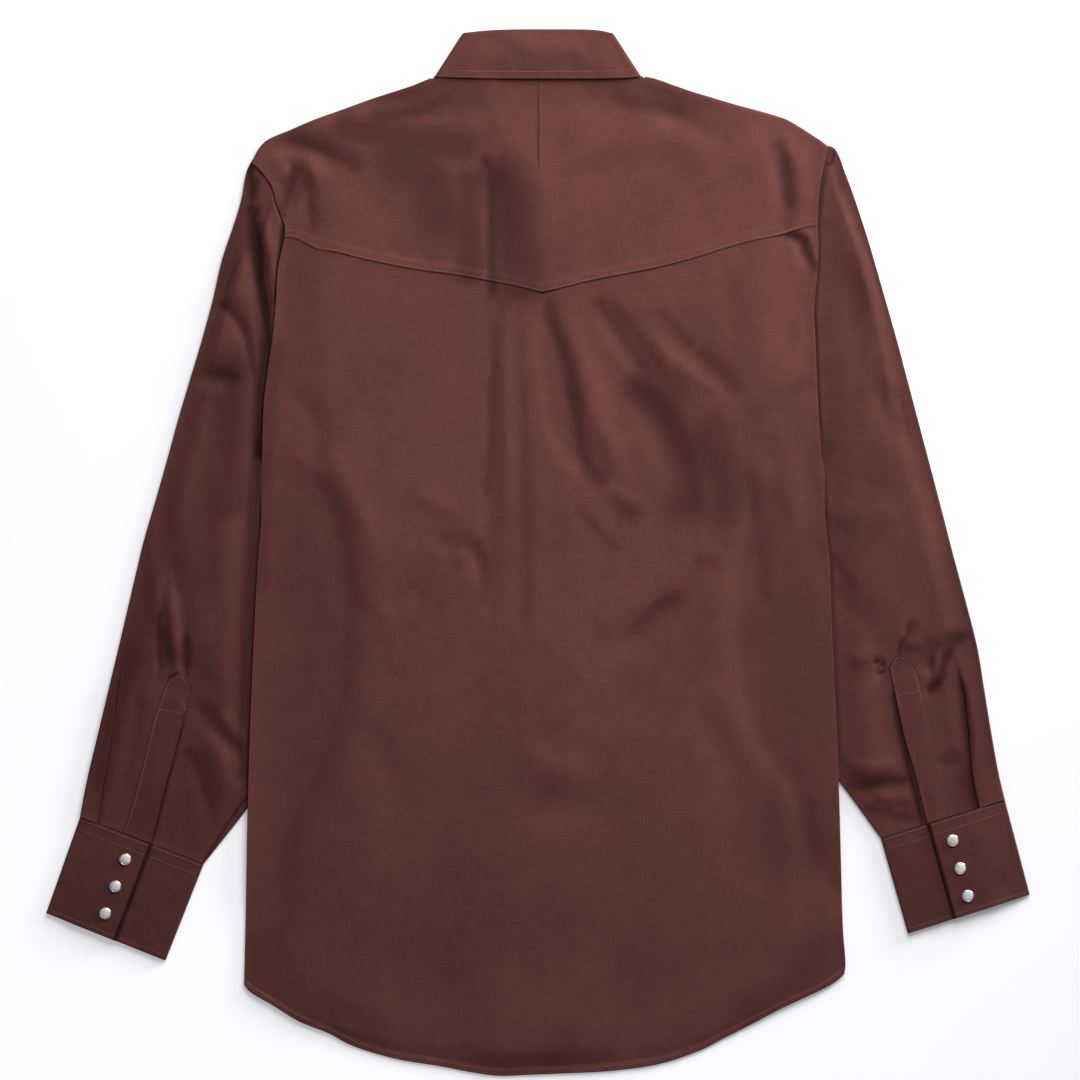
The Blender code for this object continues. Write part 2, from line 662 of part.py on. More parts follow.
def neck_band(u, line, radius_less, raised, front_height):
    """Point of a band that runs from its left end round the neck to its right end."""
    half_steps = BAND_STEPS // 2
    index = round(u * BAND_STEPS)
    side = -1.0 if index < half_steps else 1.0
    step = abs(index - half_steps)
    side_x = line[1]
    side_y = line[2]
    high = back_level(side_x, 389.0) + raised
    low = front_height(side, 0.0)
    centre = (high + low) / 2
    turn = (high - low) / 2
    turn_x = side_x - turn - BAND / 2
    radius = turn - radius_less
    if step <= BACK_STEPS:
        share = step / BACK_STEPS
        x = turn_x * share
        y = line[0] + (side_y - line[0]) * share ** 2
        z = back_level(side * x, min(y, 390.0)) + raised
        z = z + (high - z) * smooth((share - 0.7) / 0.3) - radius_less
        return side * x, y, z
    if step <= BACK_STEPS + TURN_STEPS:
        angle = math.pi * (step - BACK_STEPS) / TURN_STEPS
        return side * (turn_x + radius * math.sin(angle)), side_y, \
            centre + radius * math.cos(angle)
    share = (step - BACK_STEPS - TURN_STEPS) / (half_steps - BACK_STEPS - TURN_STEPS)
    start_line = line[:1] + (turn_x,) + line[2:]
    x, y = front_run(start_line, share)
    return side * x, y, front_height(side, share) + radius_less / 3


def stand_piece():
    """Collar stand: its ends overlap at the centre front, the left one outermost."""
    def height(side, share):
        end = PLACKET_LEVEL if side < 0 else PLACKET_LEVEL + BAND + SEAM
        return STAND_FRONT + (end - STAND_FRONT) * smooth((share - 0.25) / 0.45)

    def place(u, v):
        return neck_band(u, mix(NECK_SEAM, STAND_TOP, v), 0.0, 0.0, height)

    sheet("collar_stand", BAND_STEPS, STAND_ROWS, place, BAND, BROWN_BAND)


def leaf_piece():
    """Collar leaf, folded down over the stand, to its points in front."""
    last = len(LEAF_ROWS) - 1

    def height(side, share):
        return LEAF_FRONT

    def place(u, v):
        row = LEAF_ROWS[round(v * last)]
        curl = LEAF_CURL if row == 0.0 else 0.0
        return neck_band(u, mix(LEAF_FOLD, LEAF_EDGE, row), curl, BAND + SEAM, height)

    sheet("collar", BAND_STEPS, last, place, BAND, BROWN_BAND)


# ---- Sleeves

def sleeve_section(side, share):
    """Ends of a sleeve's section in plan: its outer and its inner point."""
    rows = sleeve_rows(side)
    place_in_rows = share * (len(rows) - 1)
    index = min(int(place_in_rows), len(rows) - 2)
    t = place_in_rows - index
    before = rows[max(index - 1, 0)]
    after = rows[min(index + 2, len(rows) - 1)]
    values = []
    for p0, p1, p2, p3 in zip(before, rows[index], rows[index + 1], after):
        slope_in = (p2 - p0) / 2
        slope_out = (p3 - p1) / 2
        value = p1 + t * (slope_in + t * (3 * (p2 - p1) - 2 * slope_in - slope_out
                                          + t * (2 * (p1 - p2) + slope_in + slope_out)))
        values.append(value)
    return (values[0], values[1]), (values[2], values[3])


def head_bow(side, y, across, share):
    """How far a section bends towards the body, to follow the armhole."""
    head = sleeve_rows(side)[0]
    if not head[3] < y < head[1]:
        return 0.0
    straight = head[0] + (head[2] - head[0]) * (head[1] - y) / (head[1] - head[3])
    bend = armhole_x(side, y) - side * tuck(y) - straight
    fade = (1.0 - smooth(share / 0.4)) * smooth(min(across, 1.0 - across) / 0.04)
    return bend * fade


def near_gauntlet(x, y):
    """1 below a sleeve placket, falling to 0 beside it."""
    table = GAUNTLET_LEFT if x < 0 else GAUNTLET_RIGHT
    middle = [mix(a, b, 0.5) for a, b in zip(table[0], table[1])]
    gap = distance_to_line(x, y, middle)[0]
    return 1.0 - smooth((gap - 26.0) / 20.0)


def sleeve_level(side, x, y, across, width, share):
    """Height of a sleeve's upper ply."""
    inset = min(across, 1.0 - across) * width
    beside_body = side * (x - armhole_x(side, y))
    free = smooth((inset - 4.0) / 16.0) * smooth((beside_body - 12.0) / 14.0)
    free *= smooth((1.0 - share) / 0.08) * (1.0 - near_gauntlet(x, y))
    lift = (SLEEVE_AIR + fold_height(x, y, SLEEVE_FOLDS)) * free
    pleat = PLEAT * smooth((share - 0.74) / 0.12) if across < PLEAT_SHARE else 0.0
    return SLEEVE_TOP + max(lift, 0.0) + pleat


def around_sleeve():
    """Stations round a sleeve's section: part of the section, and its value there."""
    stations = [("upper", share) for share in UPPER_SHARES]
    stations += [("inner", angle) for angle in TURN_ANGLES]
    stations += [("lower", share) for share in LOWER_SHARES]
    stations += [("outer", angle) for angle in TURN_ANGLES]
    return stations


def sleeve_point(side, station, share):
    """Point of a sleeve's wall at one station of one section."""
    part, value = station
    outer, inner = sleeve_section(side, share)
    width = math.dist(outer, inner)
    direction = ((inner[0] - outer[0]) / width, (inner[1] - outer[1]) / width)
    across = {"upper": value, "lower": value, "inner": 1.0, "outer": 0.0}[part]
    level = sleeve_level(side, *mix(outer, inner, across), across, width, share)
    radius = (level - FLOOR_LEVEL) / 2
    margin = radius + CLOTH / 2
    if part in ("upper", "lower"):
        flat = moved(outer, direction, margin + across * (width - 2 * margin))
        flat = (flat[0] + head_bow(side, flat[1], across, share), flat[1])
        if part == "lower":
            return flat[0], flat[1], FLOOR_LEVEL
        return flat[0], flat[1], sleeve_level(side, *flat, across, width, share)
    angle = math.radians(value)
    reach = radius * math.sin(angle)
    height = FLOOR_LEVEL + radius
    if part == "inner":
        x, y = moved(inner, direction, reach - margin)
        return x, y, height + radius * math.cos(angle)
    x, y = moved(outer, direction, margin - reach)
    return x, y, height - radius * math.cos(angle)


def sleeve_piece(name, side):
    """Sleeve: a flattened tube, open at the armhole and at the cuff."""
    stations = around_sleeve()
    if side > 0:
        stations = stations[::-1]
    count = len(stations)

    def place(u, v):
        return sleeve_point(side, stations[round(u * count) % count], 1.0 - v)

    sheet(name, count, SLEEVE_ROWS, place, CLOTH, BROWN)


def gauntlet_piece(name, side, table):
    """Sleeve placket: a strip with a rounded top, on the sleeve."""
    left, right, top = [edge(points) for points in table]
    bottom = edge((table[0][0], table[1][0]))
    level = SLEEVE_TOP + LAYER + 0.1

    def place(u, v):
        x, y = patch(u, v, bottom, top, left, right)
        return x, y, level

    sheet(name, *GAUNTLET_GRID, place, CLOTH, BROWN_BAND)


# ---- Cuffs

def cuff_plan(corners, across, down):
    """Plan point of a cuff; across runs from the outer edge to the inner one."""
    top_outer, top_inner, bottom_outer, bottom_inner = corners
    return mix(mix(top_outer, top_inner, across), mix(bottom_outer, bottom_inner, across), down)


def cuff_path(width, overlap):
    """Section of a cuff, from the end on top round to the end below it:
    distance from the outer edge, and height."""
    low = CUFF / 2
    middle = low + CUFF_RISE
    high = middle + CUFF + SEAM
    radius = CUFF_RISE / 2
    margin = radius + CUFF / 2
    ramp_end = overlap - UNDERLAP - 4.0
    path = [(overlap, high), ((overlap + ramp_end) / 2, high), (ramp_end, high)]
    for share in (0.25, 0.5, 0.75, 1.0):
        across = ramp_end + (12.0 - ramp_end) * share
        path.append((across, high + (middle - high) * smooth(share)))
    for degrees in (0.0, 45.0, 90.0, 135.0, 180.0):
        angle = math.radians(degrees)
        path.append((margin - radius * math.sin(angle), low + radius + radius * math.cos(angle)))
    for share in (0.25, 0.5, 0.75):
        path.append((margin + (width - 2 * margin) * share, low))
    for degrees in (180.0, 135.0, 90.0, 45.0, 0.0):
        angle = math.radians(degrees)
        path.append((width - margin + radius * math.sin(angle),
                     low + radius + radius * math.cos(angle)))
    end = overlap - UNDERLAP
    for share in (0.35, 0.7, 1.0):
        path.append((width - margin + (end - width + margin) * share, middle))
    return path


def cuff_piece(name, corners, overlap, side):
    """Cuff: a strip closed into a flattened ring, its ends overlapping on top."""
    width = (math.dist(corners[0], corners[1]) + math.dist(corners[2], corners[3])) / 2
    path = cuff_path(width, overlap)
    if side > 0:
        path = path[::-1]
    last = len(path) - 1

    def place(u, v):
        across, height = path[round(u * last)]
        x, y = cuff_plan(corners, across / width, v)
        return x, y, height

    sheet(name, last, CUFF_ROWS, place, CUFF, BROWN_BAND)
    top = path[0][1] if side < 0 else path[-1][1]
    depth = math.dist(corners[0], corners[2])
    for number, snap_depth in enumerate(CUFF_SNAP_DEPTHS, start=1):
        x, y = cuff_plan(corners, (overlap - SNAP_INSET) / width, snap_depth / depth)
        snap_name = name.replace("cuff", "cuff_snap") + "_" + str(number)
        snap_cap(snap_name, (x, y, top + CUFF / 2 + SEAM), CUFF_CAP_HEIGHT)


# ---- Snaps

def snap_cap(name, place, height):
    """Turned snap cap with rounded rims; its underside lies at the given place."""
    bevel = 0.4
    profile = ((0.0, 0.0), (CAP_RADIUS - bevel, 0.0), (CAP_RADIUS, bevel),
               (CAP_RADIUS, height - 2 * bevel), (CAP_RADIUS - 2 * bevel, height - bevel / 2),
               (0.0, height))
    turned = bmesh.new()
    corners = [turned.verts.new((r * MM, 0.0, z * MM)) for r, z in profile]
    lines = [turned.edges.new(pair) for pair in zip(corners, corners[1:])]
    bmesh.ops.spin(turned, geom=corners + lines, cent=(0, 0, 0), axis=(0, 0, 1),
                   angle=2 * math.pi, steps=CAP_SIDES, use_merge=True)
    bmesh.ops.remove_doubles(turned, verts=turned.verts, dist=1e-6)
    bmesh.ops.recalc_face_normals(turned, faces=turned.faces)
    cap = add_piece(name, turned, PEARL)
    cap.data.set_sharp_from_angle(angle=math.radians(40.0))
    cap.location = [value * MM for value in place]
    return cap


def front_snaps():
    """Caps of the front opening, below the placket and the stand, facing down."""
    for number in range(FRONT_SNAPS):
        y = FRONT_SNAP_TOP - FRONT_SNAP_PITCH * number
        snap_cap("front_snap_" + str(number + 1), (0.0, y, 0.0), CAP_HEIGHT)
    snap_cap("stand_snap", (0.0, STAND_SNAP_Y, 0.0), CAP_HEIGHT)


def build():
    """The whole shirt."""
    for old in list(bpy.data.objects):
        bpy.data.objects.remove(old)
    back_piece()
    yoke_piece()
    front_piece("front_left", -1, LEFT_CENTRE)
    front_piece("front_right", 1, RIGHT_CENTRE)
    placket_piece()
    stand_piece()
    leaf_piece()
    sleeve_piece("sleeve_left", -1)
    sleeve_piece("sleeve_right", 1)
    gauntlet_piece("sleeve_placket_left", -1, GAUNTLET_LEFT)
    gauntlet_piece("sleeve_placket_right", 1, GAUNTLET_RIGHT)
    cuff_piece("cuff_left", CUFF_LEFT, OVERLAP_LEFT, -1)
    cuff_piece("cuff_right", CUFF_RIGHT, OVERLAP_RIGHT, 1)
    front_snaps()


build()
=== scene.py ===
"""Looks of a western snap shirt that lies flat with its back up.

Tables are in millimetres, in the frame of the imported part: the collar towards +Y, the
wearer's left towards -X, and the surface that the shirt lies on at Z = 0. Each piece of cloth
is laid as a fine grid half-way through its wall, by the piece's own function.
"""

import bisect
import math

import bmesh
import bpy
from mathutils import Matrix, Vector, noise
from mathutils.bvhtree import BVHTree


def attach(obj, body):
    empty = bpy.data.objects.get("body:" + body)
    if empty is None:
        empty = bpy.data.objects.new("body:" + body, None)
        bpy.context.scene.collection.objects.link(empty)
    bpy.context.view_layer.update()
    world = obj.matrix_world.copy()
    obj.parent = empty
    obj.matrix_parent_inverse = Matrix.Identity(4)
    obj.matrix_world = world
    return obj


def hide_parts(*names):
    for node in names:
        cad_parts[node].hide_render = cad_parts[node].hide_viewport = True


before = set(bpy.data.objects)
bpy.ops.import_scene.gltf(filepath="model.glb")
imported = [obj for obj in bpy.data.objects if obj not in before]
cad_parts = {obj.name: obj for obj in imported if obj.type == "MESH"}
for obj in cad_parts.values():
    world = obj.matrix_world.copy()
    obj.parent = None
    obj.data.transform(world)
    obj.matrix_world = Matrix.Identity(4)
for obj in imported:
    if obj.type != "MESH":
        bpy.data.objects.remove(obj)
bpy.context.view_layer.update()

MM = 0.001

# ---- Walls, gaps and heights of the layers
SEAM = 0.3
CLOTH = 1.0
BAND = 1.2
CUFF = 1.4
CAP_RADIUS = 4.9
CAP_HEIGHT = 1.5
CUFF_CAP_HEIGHT = 1.8
FLOOR_LEVEL = CLOTH / 2
LAYER = CLOTH + SEAM
SLEEVE_TOP = FLOOR_LEVEL + 1.6
OVER_SLEEVE = SLEEVE_TOP + LAYER
PLACKET_LEVEL = CAP_HEIGHT + SEAM + BAND / 2
LEFT_CENTRE = PLACKET_LEVEL + BAND / 2 + SEAM + CLOTH / 2
RIGHT_CENTRE = LEFT_CENTRE + LAYER
LEAF_FRONT = BAND / 2 + 0.06
STAND_FRONT = LEAF_FRONT + BAND + 1.5 * SEAM
OVER_LEAF = BAND + SEAM + CLOTH / 2
EDGE_BRIDGE = 3.7           # the back beside its armholes and shoulders
BRIDGE = 7.6                # the back's middle, where it spans from sleeve to sleeve
BRIDGE_RISE = 46.0          # width over which it rises from the one to the other
RAMP_AIR = 0.7
SLEEVE_AIR = 4.4            # how far a sleeve's upper ply stands up between its edges
FOLD_DEPTH = 1.8            # the folds' heights below are for a pressed shirt
PLEAT = CLOTH + SEAM
HEM_PLIES = 0.45            # how much thicker the turned hem is
YOKE_STEP = 0.5             # the yoke's folded edge stands on the back
# Painted shade, mixed into the cloth's colour where a shadow would fall: how dark, up to 1
EDGE_SHADE = 0.6            # dark line along an edge that lies on other cloth
ARMHOLE_SHADE = 0.3         # the same along the yoke's ends
PLEAT_SHADE = 0.85          # beside the cuff's pleat, below its step
FREE_SHADE = 0.95           # below an edge that stands free, on sleeve placket and cuff
ALLOWANCE_SHADE = 0.34
SIDE_SHADE = 0.45           # along the back's side edges
PLEAT_SOFT = {-1: 2.2, 1: 5.5}  # how far it reaches, left and right
ALLOWANCE = 3.0             # distance beside the right armhole where painted shade marks the seam allowance's edge

# ---- Widths
PLACKET_HALF = 18.0
PLACKET_RAMP = 45.0
SLEEVE_RAMP = 45.0
BESIDE_SLEEVE = 15.0
BESIDE_PLACKET = 2.0
LEAF_REACH = 92.0
LEAF_FOOT_Y = 221.0
LEAF_RAMP = 35.0
BACK_PLATEAU = 24.0
BACK_RAMP = 60.0
TUCK = 7.0
UNDERARM_TUCK = 16.0
ARMHOLE_GAP = 1.4
SHOULDER_WRAP = 12.0
FRONT_SHORTER = 30.0
UNDERARM_Y = 93.0
CUFF_RISE = 1.8
UNDERLAP = 25.0
HEM_DEPTH = 3.8             # from the hem's edge to its line of stitches
SEAM_STITCH = 1.6           # from the yoke's edge, and from a sleeve placket's
CUFF_STITCHES = (0.018, 0.115, 0.955)   # shares down a cuff
PLACKET_STITCH = 12.5       # from the middle of the front placket
LEAF_STITCH = 0.86          # share from the leaf's fold to its edge
COLLAR_LINE = ((-72, 395.2), (-40, 394.3), (0, 394), (40, 394.2), (77, 395.8))
FRONT_HEM_FROM = 22.0       # the fronts' hem stitches, from the middle
FRONT_HEM_TO = 234.0
FRONT_HEM_POINTS = 15
PLACKET_STITCH_ENDS = (4.0, 292.0)      # above the hem, and at the top
GAUNTLET_TOP_STITCH = 1.8

# ---- Snaps
FRONT_SNAPS = 7
FRONT_SNAP_TOP = 262.0
FRONT_SNAP_PITCH = 85.0
STAND_SNAP_Y = 311.0
CUFF_SNAP_DEPTHS = (18.4, 41.8, 65.2)
OVERLAP_LEFT = 62.0
OVERLAP_RIGHT = 65.5
SNAP_INSET = 15.5
CAP_SIDES = 28
PEARL_RADIUS = 4.12
PEARL_TOP = 2.05            # the profiles, radius and height, are for a cap this high
PEARL_PROFILE = (
    (0.0, 0.55), (PEARL_RADIUS - 0.3, 0.55), (PEARL_RADIUS, 0.8), (PEARL_RADIUS, 1.25),
    (3.88, 1.55), (3.3, 1.78), (2.35, 1.95), (1.2, 2.03), (0.0, PEARL_TOP),
)
RIM_PROFILE = (
    (0.0, 0.0), (4.45, 0.0), (4.8, 0.2), (CAP_RADIUS, 0.55), (CAP_RADIUS, 0.95),
    (4.8, 1.25), (4.55, 1.48), (4.32, 1.5), (4.2, 1.38), (4.17, 0.5), (0.0, 0.5),
)
CAP_GAP = 0.05              # between a cuff and the cap on it

# ---- Stitches
STITCH_PITCH = 2.7
STITCH_SIZE = (2.05, 0.42, 0.30)        # length, width, height
STITCH_LIFT = 0.06
STITCH_STEEPEST = 0.85      # no stitch where the cloth is steeper
# across a sleeve placket: share up its left edge and up its right one
BOX_SHARES = {-1: (0.83, 0.858), 1: (0.82, 0.94)}

# ---- Grids
NECK_SHARE = 1.0 / 3.0      # of the yoke's width, where each shoulder meets the neck
SLEEVE_CLEAR = NECK_SHARE * 0.25        # of the same, up to where the wrap meets the sleeve
ON_TOP = 0.9                # share of the yoke's rows above the shoulders' fold
AFTER_ROLL = 0.96
ROLL_ROWS = 8
WRAP_ROWS = 3
BACK_STEPS = 36             # of a neck band, from the centre back to the side of the neck
TURN_STEPS = 8
FRONT_STEPS = 30
HALF_STEPS = BACK_STEPS + TURN_STEPS + FRONT_STEPS
BAND_SHARES = [index / (2 * HALF_STEPS) for index in range(2 * HALF_STEPS + 1)]
LEAF_ROWS = (0.0, 0.015, 0.035, 0.07, 0.12, 0.18, 0.25, 0.32, 0.4, 0.48, 0.56, 0.64, 0.72,
             0.80, 0.84, 0.88, 0.92, 0.96, 0.985, 1.0)
NEAR_SIDE = (0.0012, 0.003, 0.006, 0.01)    # shares of extra columns beside a side edge

# ---- Unevenness of the cloth: height, size of its patches along X and Y, seed
BACK_UNEVEN = ((1.0, 70.0, 110.0, 3.1), (0.30, 22.0, 30.0, 8.7))
SLEEVE_UNEVEN = ((0.8, 34.0, 60.0, 12.0), (0.25, 14.0, 18.0, 16.0))

# ---- Picture
CAMERA_HEIGHT = 3.0
PICTURE_LEVEL = 0.002       # height at which the picture is PICTURE_WIDTH wide
PICTURE_WIDTH = 0.8856
CAMERA_PLACE = (0.00164, 0.01066)
FLOOR_HALF = 4.0            # metres, as in the next lines
FLOOR_DROP = 0.0003
FLOOR_COLOUR = (0.69, 0.69, 0.71)
# painted light: the floor glows, more towards the lower left, where the key light falls off
FLOOR_GLOW_COLOUR = (0.97, 0.97, 1.0)
GLOW_WAY = (0.46, 0.89)     # the way in which the floor's glow changes
GLOW_RANGE = (-0.65, 0.10, 0.43, 0.03)
SKY_COLOUR = (0.90, 0.90, 1.0, 1.0)
SKY_STRENGTH = 0.30
LAMP_COLOUR = (1.0, 0.985, 0.965)
# columns: name, place, target, size, power
SOFTBOXES = (
    ("key", (0.42, 1.20, 1.05), (0.02, 0.05, 0.0), 1.3, 46.5),
    ("rake", (2.8, 2.0, 0.5), (0.0, 0.0, 0.0), 0.9, 190.0),
)

# ---- Outline of the body: x, y
HEM = (
    (-241, -354), (-236, -360), (-218, -370.5), (-196, -384),
    (-171.5, -394), (-156, -402.5), (-140, -408.5), (-113, -415.7),
    (-80, -421), (-54, -426), (-32, -428.8), (-7, -428), (18, -427),
    (60, -424.8), (100, -419), (133, -408), (150, -399.3), (174, -387),
    (198.5, -374), (231, -358.8), (243.5, -352), (251, -345.5),
)
BACK_LEFT = (
    (-241, -354), (-239.4, -284), (-237.8, -202), (-235.8, -137),
    (-233, -71), (-229.6, -6), (-227, 27), (-226.3, 78), (-224.7, 124),
    (-221.4, 151), (-217.3, 180), (-214.8, 208), (-213.2, 233), (-207.7, 258.3),
)
BACK_RIGHT = (
    (251, -345.5), (252.2, -337), (250.1, -309), (248.5, -260), (246.8, -202),
    (244.4, -137), (241, -71), (238.6, -6), (235.3, 27), (232, 78),
    (228.8, 133), (227, 180), (226, 197), (229.6, 242), (229.3, 268.8),
)
YOKE_LEFT = (
    (-207.7, 258.6), (-207.7, 268), (-210.7, 276), (-214.8, 288), (-218, 300),
    (-226.3, 312), (-234.5, 320.6),
)
YOKE_RIGHT = (
    (229.3, 269.1), (230.4, 293), (233.7, 314), (236.2, 324), (237.8, 333.7),
)
YOKE_SEAM_LEFT = (
    (-207.7, 258.3), (-200, 258.3), (-187, 252.1), (-180, 248.5), (-168, 246.8),
    (-138, 239.4), (-101, 232.1), (-65, 227.1), (-15.6, 217.7), (2.5, 213.2),
)
YOKE_SEAM_RIGHT = (
    (2.5, 213.2), (11.5, 214.8), (46.7, 223.5), (91, 232.1), (127, 241.1),
    (168, 253.8), (198, 260.4), (216, 266.1), (229.3, 268.8),
)
SHOULDER_LEFT = (
    (-234.5, 320.6), (-229.6, 330.5), (-222.2, 338.7), (-203.4, 346.9), (-184.5, 355.1),
    (-161.5, 363.3), (-134.5, 373.1), (-104, 382.9), (-87.7, 389.5),
)
SHOULDER_RIGHT = (
    (88, 390.6), (96.5, 388.8), (113, 383), (128, 378), (144.3, 373.1),
    (160.7, 368.2), (178.8, 363.3), (196, 358.3), (205, 355.1), (231.2, 338.7),
    (237.8, 333.7),
)
BACK_NECK = (
    (-86, 389.8), (-84, 391.2), (-79, 391.2), (-70, 392), (-55, 393.8),
    (-30, 396.3), (0, 397.6), (30, 396.3), (55, 393.8), (70, 392),
    (79, 391.2), (83.5, 391.4), (86.5, 390.8),
)
INWARD_LEFT = (0.42, -0.907)
INWARD_RIGHT = (-0.42, -0.907)

# ---- Collar: centre back y, side x, side y, curve x, curve y, end x, end y
NECK_SEAM = (398, 81.5, 389, 72, 305, -12, 296.3)
STAND_TOP = (425.3, 60, 422.6, 54.5, 334, -12, 322)
LEAF_FOLD = (428.8, 61.7, 426, 53, 338, 3, 326)
LEAF_EDGE = (388.4, 84.9, 389.9, 66, 326, 46, 264)

# ---- Sleeves, a row for each section: outer edge x, y; inner edge x, y
SLEEVE_LEFT = (
    (-234, 322.5, -210, UNDERARM_Y), (-238.9, 312, -212.5, 90),
    (-243, 290, -215.5, 87.5), (-249.5, 268.5, -218.5, 85),
    (-259, 240, -221.5, 82.5), (-266.5, 207.5, -224, 79.5),
    (-276, 173, -225.5, 75.5), (-285.4, 142, -225.5, 70),
    (-295, 110, -222, 61), (-304.2, 76.3, -214, 46),
    (-314, 42, -203, 24), (-323.1, 10.7, -195, -6),
    (-331, -22, -190, -42), (-338.7, -55, -189, -80),
    (-347, -90, -192, -115), (-354.2, -120.5, -202, -147),
    (-362, -153, -217.5, -180.5), (-369.8, -186, -239.5, -211),
    (-375.6, -216.4, -274.3, -255.2),
)
SLEEVE_RIGHT = (
    (231, 334, 215, UNDERARM_Y), (243.3, 331.6, 217.5, 90),
    (252, 311, 220.5, 87.5), (259.9, 289.5, 223.5, 85),
    (270.6, 256.7, 226.5, 82.5), (279, 228, 229, 79.5),
    (286.5, 202, 230.3, 75.5), (295, 172, 230.5, 70),
    (303.5, 140, 227, 61), (312, 108, 219, 46),
    (320.4, 76.3, 208, 24), (331, 36, 200, -6),
    (340.5, -1, 195, -42), (351, -40, 194, -78),
    (360.5, -78, 198, -110), (366, -112, 209, -138),
    (371.5, -146, 227, -163), (377.6, -180, 250, -191),
    (382.9, -202.4, 281.3, -234),
)
# columns: share along the sleeve, share across it where the cuff's pleat is folded
PLEAT_LEFT = (
    (0, 0.08), (0.70, 0.03), (0.778, 0.023), (0.833, 0.043), (0.889, 0.072),
    (0.944, 0.094), (1, 0.135),
)
PLEAT_RIGHT = (
    (0, 0.09), (0.72, 0.115), (0.79, 0.112), (0.833, 0.094), (0.889, 0.117),
    (0.944, 0.162), (1, 0.203),
)
PLEAT_START_LEFT = 0.755
PLEAT_START_RIGHT = 0.785

# ---- Sleeve plackets: left edge, right edge and top, from the cuff up
GAUNTLET_LEFT = (
    ((-340.5, -229.4), (-334.6, -212.4), (-323.4, -171.4), (-314.1, -133.7),
     (-304.5, -107.4)),
    ((-317, -238.5), (-312.1, -218.9), (-304.5, -189), (-296.8, -161.5),
     (-284.8, -114)),
    ((-304.5, -107.4), (-300, -101.5), (-292, -100), (-287, -105),
     (-284.8, -114)),
)
GAUNTLET_RIGHT = (
    ((318.8, -222), (308.5, -180.5), (300.1, -151.7), (292.5, -117.3), (287.5, -94)),
    ((341, -215), (332.9, -192.7), (325.5, -158.3), (320.6, -137.8), (312.6, -106)),
    ((287.5, -94), (294, -84), (300, -84.5), (307.5, -91), (312.6, -106)),
)

# ---- Cuffs, corners x, y: top outer, top inner, bottom outer, bottom inner
CUFF_LEFT = ((-375.6, -216.7), (-274.3, -255.5), (-403.3, -295.2), (-305.5, -334.2))
CUFF_RIGHT = ((382.9, -202.7), (281.3, -234.3), (403.3, -280.1), (303.4, -312))

# ---- The two hands: side, sleeve placket, cuff, its overlap, turn of its grain in degrees
HANDS = (
    ("left", -1, GAUNTLET_LEFT, CUFF_LEFT, OVERLAP_LEFT, -21.0),
    ("right", 1, GAUNTLET_RIGHT, CUFF_RIGHT, OVERLAP_RIGHT, 17.0),
)

# ---- Folds: points along each; half width on its left and on its right; height
BACK_FOLDS = (
    (((-33, 208), (-36, 150), (-38, 93), (-41, 27), (-39, -88)), 9, 6, -0.7),
    (((-26, 205), (-27, 140), (-24, 60), (-25, 20)), 5, 9, 0.8),
    (((-15, 191), (-12, 84), (-10, -20), (-12, -104)), 5, 6, -0.35),
    (((6, 214), (10, 178), (15, 146), (22, 108), (31, 78), (46, 54)), 9, 12, -2.5),
    (((24, 192), (34, 160), (46, 116), (58, 86), (74, 48)), 11, 9, 1.4),
    (((50, 216), (64, 192), (84, 166), (108, 132)), 7, 11, -1.8),
    (((60, 146), (84, 126), (105, 100), (118, 72), (128, 38)), 16, 14, -2),
    (((90, 178), (112, 152), (136, 124)), 9, 12, 1.5),
    (((122, 170), (142, 150), (168, 128)), 7, 9, -1.3),
    (((52, 44), (70, 30), (86, 26)), 7, 7, -0.4),
    (((56, 60), (70, 44), (92, 36)), 6, 8, 0.6),
    (((48, -92), (76, -70), (94, -52), (128, -28)), 14, 9, -1.5),
    (((40, -70), (70, -48), (100, -26)), 12, 12, 0.8),
    (((168, 70), (182, 10), (192, -58)), 16, 10, -1.2),
    (((196, 120), (206, 60), (212, 10)), 10, 14, 0.9),
    (((-204, 96), (-190, 66), (-166, 44), (-156, 8), (-146, -42), (-124, -74)), 12, 14, -0.9),
    (((-178, 100), (-150, 40), (-132, 0)), 10, 12, 0.9),
    (((-136, -44), (-112, -38), (-88, -20)), 8, 9, -0.6),
    (((-92, 12), (-70, 8), (-54, 0), (-42, -32)), 9, 7, -1.1),
    (((-104, 60), (-84, 40), (-60, 34)), 10, 8, 0.7),
    (((-18, -150), (2, -172), (26, -180), (46, -174)), 14, 16, 0.9),
    (((-30, -196), (10, -210), (60, -206)), 16, 14, -0.8),
    (((120, -120), (150, -160), (160, -210)), 18, 14, -0.8),
    (((-150, -130), (-120, -180), (-112, -230)), 16, 16, -0.8),
    (((4, -318), (7, -350), (6, -384)), 3, 4, 0.3),
    (((198, 259), (212, 259), (218, 252), (221, 241), (228, 234)), 4, 5, -2),
    (((214, 264), (224, 257), (227, 246)), 3, 4, 1),
    (((150, 236), (160, 200), (158, 160)), 9, 12, -0.7),
)
